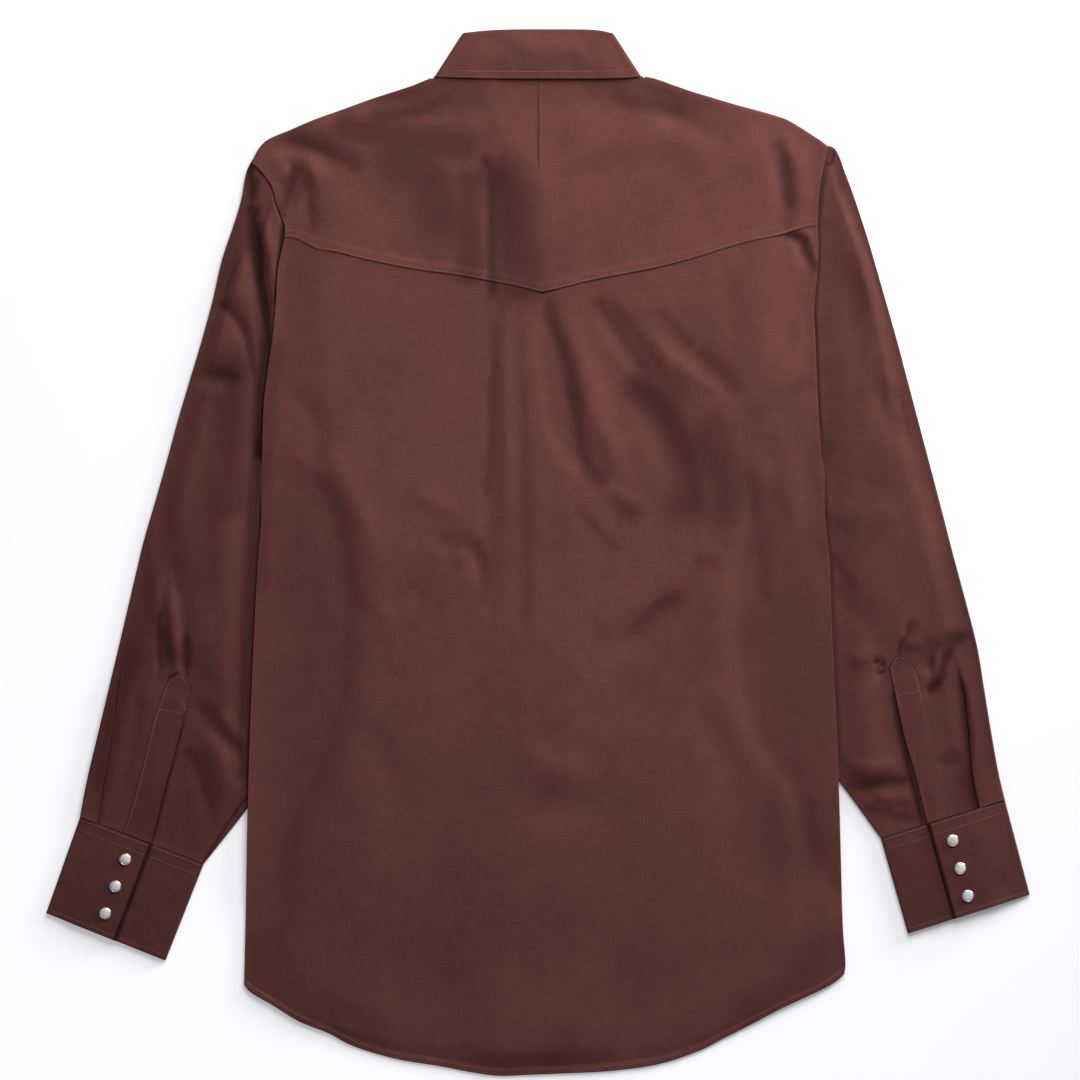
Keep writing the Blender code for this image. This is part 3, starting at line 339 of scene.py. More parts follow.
YOKE_FOLDS = (
    (((-222, 332), (-200, 330), (-178, 324), (-160, 312)), 9, 12, -1.4),
    (((-190, 344), (-150, 356), (-96, 366)), 16, 12, 1),
    (((-168, 366), (-130, 372), (-84, 382)), 8, 10, -1.2),
    (((-214, 318), (-202, 319), (-196, 311), (-202, 292), (-206, 276)), 5, 9, -2.2),
    (((-196, 322), (-184, 318), (-182, 300)), 8, 8, 0.8),
    (((-187, 310), (-187, 286), (-184, 264)), 5, 7, -1.2),
    (((-46, 330), (-40, 312), (-37, 286), (-34, 254), (-30, 224)), 16, 8, -1.3),
    (((-30, 352), (-8, 318), (10, 280)), 14, 16, 0.7),
    (((22, 366), (40, 344), (58, 318)), 20, 24, 1.2),
    (((84, 384), (104, 366), (134, 346)), 10, 14, -1.5),
    (((110, 344), (140, 316), (156, 290)), 16, 18, 0.8),
    (((197, 338), (202, 308), (205, 266)), 6, 8, -1.9),
    (((214, 334), (216, 300), (218, 276)), 8, 7, 0.6),
    (((-104, 322), (-92, 290), (-90, 250)), 16, 14, -0.6),
)
SLEEVE_FOLDS = (
    (((-237, 318), (-232, 284), (-229, 252), (-225, 224), (-221, 196), (-220, 160)), 3, 9, -3),
    (((-230, 308), (-225, 286), (-222, 262), (-219, 240), (-216, 222)), 5, 4, 1.6),
    (((-246, 262), (-247, 226), (-248, 196)), 9, 10, 1.2),
    (((-266, 208), (-250, 196), (-238, 170)), 9, 7, -1.1),
    (((-274, 188), (-262, 166), (-256, 140)), 10, 20, 0.4),
    (((-285, 147), (-264, 143), (-240, 142)), 7, 9, -1.8),
    (((-311, 70), (-306, 20), (-293, -56)), 9, 13, -1.5),
    (((-268, 90), (-258, 30), (-262, -40)), 14, 12, 1),
    (((-308, -56), (-309, -78), (-308, -104)), 7, 3, -2),
    (((-301, -14), (-299, -62), (-297, -84), (-297, -98)), 5, 5, 1.6),
    (((-289, -62), (-288, -86), (-287, -102)), 2, 5, -1.7),
    (((-284, -116), (-264, -144), (-240, -170)), 8, 7, -1.5),
    (((-292, -158), (-280, -170), (-272, -192), (-262, -222)), 6, 8, -1.2),
    (((-262, -128), (-250, -146), (-240, -160)), 7, 7, 1),
    (((-273, -138), (-260, -166), (-251, -196)), 8, 8, 0.9),
    (((-328, -96), (-330, -140), (-342, -196)), 6, 7, -0.8),
    (((-345, -78), (-349, -120), (-356, -160)), 5, 6, 0.8),
    (((272, 146), (286, 116), (302, 82)), 13, 10, -1.4),
    (((250, 250), (258, 200), (262, 150)), 10, 14, -0.9),
    (((268, 262), (272, 226), (282, 190)), 9, 11, 0.9),
    (((238, -28), (262, -50), (286, -82)), 12, 9, -0.7),
    (((226, 40), (262, 30), (300, 34)), 14, 12, 0.9),
    (((354, -65), (339, -73), (332, -85), (329, -100)), 7, 5, -2.2),
    (((346, -58), (330, -66), (322, -80)), 6, 6, 1),
    (((321, -84), (321, -92), (321, -102)), 5, 4, -1.3),
    (((330, -106), (322, -112), (316, -119)), 4, 5, -1.2),
    (((341, -88), (347, -110), (351, -138), (356, -180)), 3, 9, -1.9),
    (((300, -70), (304, -62), (312, -58)), 3, 4, -1.7),
    (((302, -80), (308, -74), (316, -70)), 4, 4, 0.9),
    (((270, -88), (279, -90), (286, -93)), 3, 3, -1.3),
    (((272, -100), (280, -98), (287, -97)), 3, 3, -1.2),
    (((252, -84), (270, -86), (282, -84)), 6, 6, 0.8),
    (((250, -194), (276, -192), (306, -186)), 6, 9, -1.6),
    (((262, -207), (291, -213), (315, -214)), 6, 7, -1.7),
    (((258, -176), (282, -176), (300, -170)), 6, 7, 0.9),
    (((268, -198), (292, -200), (312, -197)), 6, 6, 0.9),
    (((325, -170), (340, -171), (352, -169)), 6, 7, -1),
)
LEAF_FOLDS = (
    (((-30, 426), (-8, 414), (30, 410), (52, 400)), 9, 12, 0.9),
    (((-60, 400), (-40, 396), (-20, 398)), 8, 8, -0.5),
    (((20, 402), (34, 398)), 8, 8, -0.5),
)

# ---- Painted shade in creases, hollows and broad troughs, where less light gets in: as the folds, but how dark, up to 1
BODY_PAINTED_SHADES = (
    (((0.7, 392), (0.7, 352), (0.7, 312)), 0.8, 0.8, 0.6),
    # yoke
    (((-214, 342), (-195, 338), (-176, 331), (-156, 321), (-140, 308)), 14, 5, 0.54),
    (((-206, 320), (-199, 317.5), (-197, 311), (-201, 299), (-206, 286), (-209, 270)),
     1.8, 8, 0.50),
    (((-187.4, 322), (-185.5, 304), (-184.2, 284), (-183.7, 258)), 1.8, 5, 0.30),
    (((-142, 356), (-104, 362), (-82, 369), (-66, 379)), 7, 7, 0.56),
    (((-176, 348), (-134, 344), (-100, 336), (-64, 333), (-42, 322)), 18, 14, 0.46),
    (((-150, 338), (-112, 326), (-90, 300), (-80, 270), (-76, 238)), 25, 30, 0.42),
    (((-60, 320), (-56, 282), (-56, 214)), 11, 12, 0.42),
    (((-142, 364), (-100, 371), (-60, 374), (-30, 376)), 17, 16, 0.42),
    (((28, 379), (70, 377), (110, 372), (150, 358)), 13, 14, 0.36),
    (((-120, 378), (-40, 381), (40, 381), (120, 376)), 22, 24, 0.22),
    (((96, 346), (140, 335), (186, 312)), 20, 20, 0.18),
    (((-90, 258), (-86, 232)), 4, 4, 0.20),
    (((-50, 330), (-35, 306), (-26, 282), (-20, 254), (-16, 226), (-10, 190)), 23, 24, 0.50),
    (((-48, 330), (-39, 312), (-38, 290), (-38, 262), (-36, 206)), 6, 5, 0.66),
    (((57, 384), (68, 373), (92, 366), (126, 360)), 9, 8, 0.56),
    (((100, 366), (140, 352), (174, 332)), 18, 14, 0.32),
    (((8, 373), (15, 364)), 5, 5, 0.24),
    (((-55, 386), (-56, 372)), 4, 4, 0.26),
    (((-36, 384), (-36, 356), (-40, 336)), 5, 5, 0.18),
    (((21, 312), (54, 321), (82, 330)), 8, 8, 0.12),
    (((196, 344), (202, 320), (205, 292), (206, 262)), 6, 9, 0.44),
    # back, below the point of the yoke
    (((4, 211), (10, 199), (17, 177), (26.5, 149), (32, 120), (36, 92), (45, 68), (60, 57)),
     6, 7, 0.40),
    (((46, 213), (62, 188), (79, 164), (96, 140)), 4.5, 7, 0.50),
    (((68, 147), (86, 130), (105, 106), (117, 76), (124, 48), (120, 20)), 17, 17, 0.52),
    (((124, 116), (138, 94), (150, 64), (155, 36), (158, 8)), 22, 20, 0.44),
    (((176, 130), (178, 100), (178, 62)), 12, 12, 0.28),
    (((118, 196), (160, 152), (196, 110), (212, 60)), 30, 30, 0.13),
    (((97, 203), (114, 186), (130, 166)), 3.5, 6, 0.34),
    (((110, 156), (127, 141), (146, 127)), 3.5, 5, 0.40),
    (((150, 138), (167, 128)), 7, 6, 0.30),
    (((165, 77), (172, 55), (179, 28), (183, -2), (185, -50)), 14, 4.5, 0.42),
    (((144, 65), (158, 49), (167, 38)), 5, 5, 0.20),
    (((32, 40), (48, 20), (67, 1)), 3.5, 4, 0.30),
    (((86, 46), (74, 32), (60, 26)), 8, 8, 0.20),
    (((71, -69), (88, -49), (104, -37), (128, -30)), 3, 16, 0.36),
    (((126, -3), (154, -11)), 7, 7, 0.26),
    (((110, -62), (150, -60), (190, -84)), 34, 34, 0.20),
    (((220, 28), (236, -11)), 10, 8, 0.22),
    (((207, 193), (211, 168)), 5, 5, 0.25),
    (((201, 129), (229, 144)), 6, 6, 0.22),
    (((198, 260), (210.6, 260), (219, 257.5), (221.5, 247), (228.8, 233.7), (233, 230)),
     2.2, 5, 0.62),
    (((150, 60), (186, 10), (205, -60), (212, -160), (214, -280)), 36, 36, 0.24),
    (((226, 120), (232, 60), (236, -10)), 12, 14, 0.16),
    # back, left half
    (((-35.4, 196), (-35.4, 150), (-38, 118), (-39, 86), (-42, 44)), 3.5, 4, 0.28),
    (((-13, 190), (-11, 80), (-9, -60)), 4, 8, 0.16),
    (((-206, 93), (-197, 72), (-172, 53), (-158, 29), (-155, 5), (-149, -28), (-135, -54)),
     4, 22, 0.30),
    (((-214, 66), (-196, 16), (-184, -50), (-172, -120)), 24, 30, 0.22),
    (((-86, 13), (-71, 5), (-61, -16)), 6, 6, 0.26),
    (((-52, 15), (-45, -3), (-43.5, -46)), 4, 5, 0.26),
    (((-216, 180), (-222, 110), (-225, 40), (-228, -40)), 8, 12, 0.34),
    (((-200, 30), (-186, -60), (-180, -170), (-170, -250)), 44, 44, 0.17),
    (((-234, -300), (-200, -366), (-120, -404)), 22, 22, 0.27),
    (((0, -400), (36, -402), (74, -398)), 18, 18, 0.15),
    (((250, -300), (212, -356), (150, -390)), 22, 22, 0.26),
)
SLEEVE_PAINTED_SHADES = (
    # left armhole
    (((-236, 326), (-232.2, 303), (-229.8, 281), (-228.4, 262), (-226, 242)), 1.7, 8, 0.84),
    (((-232.6, 292), (-229.4, 262), (-227, 242), (-225, 222), (-222, 205), (-220.5, 190),
      (-220, 175), (-220.8, 160), (-223.5, 140), (-225.5, 110), (-228, 70)), 2.2, 9, 0.95),
    (((-208.2, 280), (-209.6, 262), (-212, 243), (-213.8, 229), (-216.2, 200)),
     3, 2.2, 0.95),
    (((-243, 300), (-250, 252), (-258, 214)), 10, 13, 0.30),
    (((-219, 290), (-217, 262), (-219, 236)), 4, 4, 0.22),
    (((-248, 172), (-254, 133), (-252, 90), (-250, 20)), 17, 16, 0.40),
    (((-266, 208), (-249, 194), (-240, 182), (-235.5, 158.6), (-229.5, 136), (-226, 110)),
     6, 2.5, 0.55),
    (((-227, 130), (-230.5, 84), (-233, 20), (-236, -40), (-239, -110), (-239, -190)),
     5, 8, 0.60),
    # left forearm
    (((-320, 20), (-315.5, -30), (-311.5, -61), (-309.2, -81)), 3, 9, 0.26),
    (((-310, -44), (-309.4, -80), (-308.6, -110)), 2.5, 3, 0.55),
    (((-280, -16), (-286, -61), (-288.6, -81), (-289, -98)), 3.5, 4, 0.24),
    (((-337, -92), (-325, -106), (-313, -117)), 3, 6, 0.18),
    (((-288, -80), (-288, -95), (-288, -106)), 1.2, 1.2, 0.8),
    (((-305, -104), (-299.5, -101), (-293, -97)), 1.7, 1.7, 0.97),
    (((-286.5, -106), (-284, -113), (-284.5, -118)), 1.2, 1.2, 0.7),
    (((-289.6, -128), (-297, -164), (-304.8, -191), (-311.4, -217), (-317.9, -240)),
     1.6, 1.6, 0.9),
    (((-236, -194), (-240.8, -202.2), (-254, -221), (-267.2, -242.5), (-277, -257)),
     1.1, 1.1, 0.75),
    (((-284, -116), (-262, -146), (-238, -176)), 3, 9, 0.26),
    (((-294, -159), (-281.6, -166), (-275.5, -184), (-268, -205), (-261.6, -223)), 3, 6, 0.34),
    (((-330, -60), (-342, -140), (-360, -205)), 24, 24, 0.28),
    (((345, 20), (360, -70), (370, -150), (378, -190)), 20, 24, 0.36),
    (((249, 318), (264.5, 272), (277, 225), (290, 172), (305, 110), (325, 40), (343, -30)),
     7, 6, 0.16),
    (((-300, 20), (-290, -60), (-276, -160)), 30, 30, 0.10),
    # right armhole
    (((244, 334), (242.1, 321.6), (238.5, 318), (233, 316.5)), 0.9, 2.4, 0.85),
    (((244, 328), (248, 312), (251, 292)), 4, 5, 0.34),
    (((254, 252), (264, 216), (268, 190)), 12, 9, 0.12),
    (((239.3, 3), (252.4, -19), (264, -31)), 5, 3, 0.35),
    # right forearm
    (((291.9, -108), (296.8, -139), (303.8, -171), (310.8, -199), (317.8, -226)),
     1.2, 4, 0.8),
    (((272, -87.5), (281, -90), (288, -93)), 1.4, 1.4, 0.7),
    (((276, -98), (282, -97.5), (288, -99.9)), 1.4, 1.4, 0.7),
    (((294.6, -84), (299.6, -70), (310, -62.5)), 2, 2.5, 0.6),
    (((362, -66.5), (350, -68.5), (338, -79.5), (331.8, -93), (328.4, -104.5), (318, -118)),
     4, 5, 0.66),
    (((324, -103), (323, -90), (326, -80)), 2, 2.5, 0.38),
    (((319, -167), (332, -171), (345, -172)), 3, 4, 0.24),
    (((251, -191), (273, -190), (307, -184)), 2.5, 5, 0.42),
    (((263, -205), (280, -211), (317, -217)), 2.5, 5, 0.48),
)


# ---- Curves and steps

def smooth(share):
    """A soft step from 0 to 1."""
    share = min(max(share, 0.0), 1.0)
    return share * share * (3.0 - 2.0 * share)


def blend(*lifts):
    """The highest of several lifts, with the corner between them rounded."""
    return sum(max(lift, 0.0) ** 4 for lift in lifts) ** 0.25


def mix(start, end, share):
    """Point between two points."""
    return tuple(a + (b - a) * share for a, b in zip(start, end))


def moved(point, direction, distance):
    """Point moved along a plan direction."""
    return (point[0] + direction[0] * distance, point[1] + direction[1] * distance)


def edge(points):
    """Smooth line through points, read by its share of length."""
    stops = [0.0]
    for start, end in zip(points, points[1:]):
        stops.append(stops[-1] + math.dist(start, end))
    last = len(points) - 1
    slopes = []
    for index in range(last + 1):
        before = max(index - 1, 0)
        after = min(index + 1, last)
        span = stops[after] - stops[before]
        slopes.append(tuple((b - a) / span for a, b in zip(points[before], points[after])))

    def at(share):
        along = min(max(share, 0.0), 1.0) * stops[-1]
        index = min(max(bisect.bisect_left(stops, along) - 1, 0), last - 1)
        span = stops[index + 1] - stops[index]
        t = (along - stops[index]) / span
        ahead = t * t * (3.0 - 2.0 * t)
        leave = t * (1.0 - t) ** 2 * span
        arrive = t * t * (t - 1.0) * span
        return tuple(
            a * (1.0 - ahead) + b * ahead + m * leave + n * arrive
            for a, b, m, n in zip(points[index], points[index + 1],
                                  slopes[index], slopes[index + 1]))
    return at


def joined(*parts):
    """One line from several: (share where it ends, line), in order."""
    def at(share):
        start = 0.0
        for end, line in parts:
            if share <= end or end == parts[-1][0]:
                return line((share - start) / (end - start))
            start = end
        return None
    return at


def patch(u, v, bottom, top, left, right):
    """Point of a panel spread between its four edges."""
    across = mix(left(v), right(v), u)
    along = mix(bottom(u), top(u), v)
    corners = mix(mix(bottom(0.0), bottom(1.0), u), mix(top(0.0), top(1.0), u), v)
    return tuple(a + b - c for a, b, c in zip(across, along, corners))


def reader(points, by=1):
    """Straight-line reading of a table: x at a y (by=1), or y at an x (by=0)."""
    rows = sorted(points, key=lambda point: point[by])
    keys = [row[by] for row in rows]

    def at(key):
        if key <= keys[0]:
            return rows[0][1 - by]
        if key >= keys[-1]:
            return rows[-1][1 - by]
        index = bisect.bisect_left(keys, key)
        low = rows[index - 1]
        high = rows[index]
        share = (key - low[by]) / max(high[by] - low[by], 1e-9)
        return low[1 - by] + (high[1 - by] - low[1 - by]) * share
    return at


def runs_of(points):
    """Straight runs of a line: start, run, its length squared, share at its start and step."""
    pieces = len(points) - 1
    runs = []
    for index in range(pieces):
        x0, y0 = points[index]
        run_x = points[index + 1][0] - x0
        run_y = points[index + 1][1] - y0
        runs.append((x0, y0, run_x, run_y, run_x ** 2 + run_y ** 2, index / pieces, 1 / pieces))
    return runs


def nearest(x, y, runs):
    """Distance to a line, share along it, and on which side the point lies."""
    best = 1e18
    along = 0.0
    turn = 0.0
    for x0, y0, run_x, run_y, square, start, step in runs:
        share = ((x - x0) * run_x + (y - y0) * run_y) / square
        share = min(max(share, 0.0), 1.0)
        gap_x = x - x0 - run_x * share
        gap_y = y - y0 - run_y * share
        gap = gap_x * gap_x + gap_y * gap_y
        if gap < best:
            best = gap
            along = start + step * share
            turn = run_x * gap_y - run_y * gap_x
    return math.sqrt(best), along, turn


def ready(folds):
    """Folds with smooth lines: their box, runs, half widths, height and end's share."""
    made = []
    for points, left, right, height in folds:
        line = edge(points)
        path = [line(index / 10) for index in range(11)]
        reach = 2.6 * max(left, right)
        box = (min(p[0] for p in path) - reach, min(p[1] for p in path) - reach,
               max(p[0] for p in path) + reach, max(p[1] for p in path) + reach)
        length = sum(math.dist(a, b) for a, b in zip(path, path[1:]))
        end_share = min(0.35, max(9.0, 1.2 * max(left, right)) / length)
        made.append((box, runs_of(path), left, right, height, end_share))
    return made


def fold_height(x, y, folds):
    """Height that the folds add at a point; each narrows and fades out at its ends."""
    total = 0.0
    for box, runs, left, right, height, _ in folds:
        if box[0] < x < box[2] and box[1] < y < box[3]:
            gap, along, turn = nearest(x, y, runs)
            fade = smooth(min(along, 1.0 - along) / 0.35)
            width = (left if turn > 0 else right) * (0.6 + 0.4 * fade)
            total += height * (0.12 + 0.88 * fade) * math.exp(-(gap / width) ** 2)
    return total * FOLD_DEPTH


def crease_shade(x, y, creases):
    """How dark the painted shade of the creases and troughs is at a point, from 0 to 1."""
    darkest = 0.0
    for box, runs, left, right, shade, end_share in creases:
        if box[0] < x < box[2] and box[1] < y < box[3]:
            gap, along, turn = nearest(x, y, runs)
            fade = smooth(min(along, 1.0 - along) / end_share + 0.1)
            width = left if turn > 0 else right
            darkest = max(darkest, shade * fade * math.exp(-(gap / width) ** 3))
    return darkest


def ripple(x, y, size_x, size_y, seed):
    """Soft unevenness between -1 and 1, over patches of the given size."""
    return noise.noise(Vector((x / size_x, y / size_y, seed)))


def uneven(x, y, layers):
    """Sum of several layers of unevenness."""
    return sum(height * ripple(x, y, *layer) for height, *layer in layers)


BACK_FOLDS = ready(BACK_FOLDS)
YOKE_FOLDS = ready(YOKE_FOLDS)
SLEEVE_FOLDS = ready(SLEEVE_FOLDS)
LEAF_FOLDS = ready(LEAF_FOLDS)
BODY_PAINTED_SHADES = ready(BODY_PAINTED_SHADES)
SLEEVE_PAINTED_SHADES = ready(SLEEVE_PAINTED_SHADES)

SIDE_X = {-1: reader(BACK_LEFT + YOKE_LEFT[1:]), 1: reader(BACK_RIGHT + YOKE_RIGHT[1:])}
HEM_Y = reader(HEM, 0)
YOKE_SEAM_Y = reader(YOKE_SEAM_LEFT + YOKE_SEAM_RIGHT[1:], 0)
SHOULDER_Y = reader(SHOULDER_LEFT + BACK_NECK + SHOULDER_RIGHT, 0)
SLEEVE_ROWS = {-1: SLEEVE_LEFT, 1: SLEEVE_RIGHT}
PLEAT_AT = {-1: reader(PLEAT_LEFT, 0), 1: reader(PLEAT_RIGHT, 0)}
PLEAT_START = {-1: PLEAT_START_LEFT, 1: PLEAT_START_RIGHT}
INNER_EDGE = {}
INNER_X = {}
for hand, table in SLEEVE_ROWS.items():
    inner_points = [(row[2], row[3]) for row in table]
    INNER_EDGE[hand] = runs_of(inner_points)
    INNER_X[hand] = reader(inner_points)
GAUNTLET_MIDDLE = {
    -1: runs_of([mix(a, b, 0.5) for a, b in zip(GAUNTLET_LEFT[0], GAUNTLET_LEFT[1])]),
    1: runs_of([mix(a, b, 0.5) for a, b in zip(GAUNTLET_RIGHT[0], GAUNTLET_RIGHT[1])]),
}


# ---- Heights of the layers

def on_sleeve(x, y):
    """1 above the hidden part of a sleeve, falling to 0 beside it."""
    side = -1 if x < 0 else 1
    bottom = SLEEVE_ROWS[side][-1][3]
    if bottom < y < UNDERARM_Y and abs(x) > abs(INNER_X[side](y)):
        return 1.0
    gap = nearest(x, y, INNER_EDGE[side])[0]
    return 1.0 - smooth((gap - BESIDE_SLEEVE) / SLEEVE_RAMP)


def on_placket(x, plateau=PLACKET_HALF + BESIDE_PLACKET, ramp=PLACKET_RAMP):
    """1 above the placket, falling to 0 beside it."""
    return 1.0 - smooth((abs(x) - plateau) / ramp)


def on_leaf(x, y):
    """1 above the collar's points, falling to 0 beside them."""
    beside = 1.0 - smooth((abs(x) - LEAF_REACH) / LEAF_RAMP)
    return beside * smooth((y - LEAF_FOOT_Y) / LEAF_RAMP)


def placket_drop(y):
    """How far the placket sinks to the surface below its last snap."""
    last_snap = FRONT_SNAP_TOP - FRONT_SNAP_PITCH * (FRONT_SNAPS - 1)
    return (PLACKET_LEVEL - BAND / 2) * smooth((last_snap - 25.0 - y) / 60.0)


def front_level(x, y, centre):
    """Height of a front panel whose centre edge lies at the height centre."""
    return FLOOR_LEVEL + blend(
        (OVER_SLEEVE - FLOOR_LEVEL) * on_sleeve(x, y),
        (centre - placket_drop(y) - FLOOR_LEVEL) * on_placket(x),
        (OVER_LEAF - FLOOR_LEVEL) * on_leaf(x, y))


def hem_gap(x):
    """How much higher the front hem lies than the back hem."""
    return FRONT_SHORTER * max(0.0, 1.0 - (x / 225.0) ** 2)


def side_inset(x, y):
    """Distance from the nearer side edge of the body."""
    return min(x - SIDE_X[-1](y), SIDE_X[1](y) - x)


def spans(x, y):
    """1 where the back spans over air, 0 where it lies on the fronts."""
    above_hem = smooth((y - HEM_Y(x) - 6.0) / 190.0)
    at_side = 1.0 - smooth((side_inset(x, y) - 4.0) / 40.0)
    at_side *= smooth((UNDERARM_Y + 10.0 - y) / 30.0)
    return above_hem * (1.0 - at_side) * (1.0 - on_sleeve(x, y) ** 2)


def bridge(inset):
    """How high the back spans, at a distance from its side or shoulder."""
    return EDGE_BRIDGE + (BRIDGE - EDGE_BRIDGE) * smooth((inset - 3.0) / BRIDGE_RISE)


def back_level(x, y, folds=()):
    """Height of the back and of the yoke."""
    inset = min(side_inset(x, y), SHOULDER_Y(x) - y)
    neck_sag = 1.0 - smooth((y - STAND_TOP[6] + 4.0) / 40.0)
    middle = RIGHT_CENTRE - placket_drop(y) - FLOOR_LEVEL
    ramp = on_sleeve(x, y)
    rest = LAYER + blend(
        (OVER_SLEEVE - FLOOR_LEVEL) * ramp,
        middle * on_placket(x, BACK_PLATEAU, BACK_RAMP) * neck_sag,
        (OVER_LEAF - FLOOR_LEVEL) * on_leaf(x, y))
    rest += RAMP_AIR * 4.0 * ramp * (1.0 - ramp)
    spread = blend(rest, (bridge(inset) - FLOOR_LEVEL) * spans(x, y))
    fold = 0.0
    if folds:
        fold = fold_height(x, y, folds) + uneven(x, y, BACK_UNEVEN)
        fold *= smooth((inset - 0.5) / 9.0)
    slack = spread - rest + fold
    room = 0.5 * (slack + math.sqrt(slack * slack + 0.09 * smooth(abs(fold) / 0.2)))
    level = rest + max(room, 0.0)
    gap = hem_gap(x)
    fall = 1.0 - smooth((y - HEM_Y(x) - 1.0) / max(0.75 * gap, 1.0))
    return FLOOR_LEVEL + level * (1.0 - fall * smooth((gap - 6.0) / 14.0))


def tuck(y):
    """How far the sleeve's head lies under the back, more towards the underarm."""
    return TUCK + (UNDERARM_TUCK - TUCK) * smooth((200.0 - y) / (200.0 - UNDERARM_Y))


# ---- Node trees

def opaque(colour):
    """Colour with its fourth number; a socket stays as it is."""
    return colour + (1.0,) if isinstance(colour, tuple) else colour


class Tree:
    """Short calls that add linked nodes to a material or a node group."""

    def __init__(self, tree):
        self.tree = tree
        self.count = 0

    def add(self, kind, settings=(), **inputs):
        """Node with settings, and inputs by name, each a value or another node's socket."""
        node = self.tree.nodes.new(kind)
        node.location = (self.count * 190.0, 0.0)
        self.count += 1
        for name, value in dict(settings).items():
            setattr(node, name, value)
        for name, value in inputs.items():
            key = int(name[1:]) if name[0] == "_" else name.replace("_", " ")
            self.put(node, key, value)
        return node

    def put(self, node, key, value):
        """Sets or links one input."""
        if isinstance(value, bpy.types.NodeSocket):
            self.tree.links.new(value, node.inputs[key])
        else:
            node.inputs[key].default_value = value

    def calc(self, operation, first, second=0.0):
        """Socket of a Math node."""
        return self.add("ShaderNodeMath", {"operation": operation}, _0=first, _1=second).outputs[0]

    def times(self, first, second):
        """Socket of a product."""
        return self.calc("MULTIPLY", first, second)

    def plus(self, first, second):
        """Socket of a sum."""
        return self.calc("ADD", first, second)

    def scaled(self, vector, scale, turn=0.0):
        """Socket of a vector, turned and scaled."""
        node = self.add("ShaderNodeMapping", (), Vector=vector, Scale=scale,
                        Rotation=(0.0, 0.0, turn))
        return node.outputs["Vector"]

    def noise(self, vector, scale, detail=2.0):
        """Socket of a noise texture's value."""
        return self.add("ShaderNodeTexNoise", (), Vector=vector, Scale=scale,
                        Detail=detail).outputs["Fac"]

    def ranged(self, value, low, high, to_low=0.0, to_high=1.0):
        """Socket of a value moved from one range to another."""
        node = self.add("ShaderNodeMapRange", {"clamp": True}, Value=value, From_Min=low,
                        From_Max=high, To_Min=to_low, To_Max=to_high)
        return node.outputs["Result"]

    def coloured(self, share, first, second):
        """Socket of a colour between two colours."""
        node = self.add("ShaderNodeMix", {"data_type": "RGBA"}, _0=share, _6=opaque(first),
                        _7=opaque(second))
        return node.outputs[2]

    def bump(self, height, strength, distance, **below):
        """Socket of a normal, bumped by a height."""
        node = self.add("ShaderNodeBump", (), Strength=strength, Distance=distance,
                        Height=height, **below)
        return node.outputs["Normal"]

    def place(self):
        """Socket of the object's own coordinates."""
        return self.add("ShaderNodeTexCoord").outputs["Object"]


def node_group(name, inputs, outputs):
    """Empty shader node group with named sockets: (name, kind, default)."""
    group = bpy.data.node_groups.new(name, "ShaderNodeTree")
    for socket, kind, default in inputs:
        made = group.interface.new_socket(socket, in_out="INPUT", socket_type=kind)
        if default is not None:
            made.default_value = default
    for socket, kind in outputs:
        group.interface.new_socket(socket, in_out="OUTPUT", socket_type=kind)
    tree = Tree(group)
    entry = tree.add("NodeGroupInput").outputs
    leave = tree.add("NodeGroupOutput")
    return group, tree, entry, leave


def plain_weave():
    """Threads over and under each other, with slubs: a height and a tone."""
    group, tree, entry, leave = node_group(
        "plain weave",
        (("Vector", "NodeSocketVector", None), ("Threads", "NodeSocketFloat", 2600.0)),
        (("Height", "NodeSocketFloat"), ("Tone", "NodeSocketFloat")))
    split = tree.add("ShaderNodeSeparateXYZ", (), Vector=entry["Vector"])
    turn = tree.times(entry["Threads"], math.pi)
    warp = tree.calc("SINE", tree.times(split.outputs["X"], turn))
    weft = tree.calc("SINE", tree.times(split.outputs["Y"], turn))
    over = tree.ranged(tree.times(warp, weft), -0.15, 0.15)
    crown = tree.add("ShaderNodeMix", {"data_type": "FLOAT"}, _0=over,
                     _2=tree.calc("ABSOLUTE", warp), _3=tree.calc("ABSOLUTE", weft)).outputs[0]
    along_weft = tree.noise(tree.scaled(entry["Vector"], (80.0, 760.0, 1.0)), 1.0, 3.0)
    along_warp = tree.noise(tree.scaled(entry["Vector"], (820.0, 100.0, 1.0)), 1.0, 3.0)
    fuzz = tree.noise(entry["Vector"], 900.0, 4.0)
    slubs = tree.plus(tree.times(along_weft, 0.55),
                      tree.times(along_warp, 0.45))
    tone = tree.plus(tree.times(slubs, 0.7), tree.times(fuzz, 0.3))
    height = tree.plus(tree.times(crown, 0.35), tone)
    tree.put(leave, "Height", height)
    tree.put(leave, "Tone", tree.ranged(tone, 0.33, 0.67))
    return group


def seam_pucker():
    """Small gathers beside a sewn edge, and the edge's own rub: a height and a mask."""
    group, tree, entry, leave = node_group(
        "seam pucker",
        (("Vector", "NodeSocketVector", None), ("Border", "NodeSocketFloat", 50.0),
         ("Width", "NodeSocketFloat", 7.0)),
        (("Height", "NodeSocketFloat"), ("Rub", "NodeSocketFloat")))
    near = tree.calc("SUBTRACT", 1.0, tree.calc("DIVIDE", entry["Border"], entry["Width"]))
    near = tree.ranged(near, 0.0, 1.0)
    gathers = tree.noise(entry["Vector"], 210.0, 2.0)
    tree.put(leave, "Height", tree.times(near, gathers))
    edge_near = tree.ranged(entry["Border"], 1.6, 0.0)
    patches = tree.ranged(tree.noise(entry["Vector"], 320.0, 3.0), 0.35, 0.7)
    tree.put(leave, "Rub", tree.times(edge_near, patches))
    return group


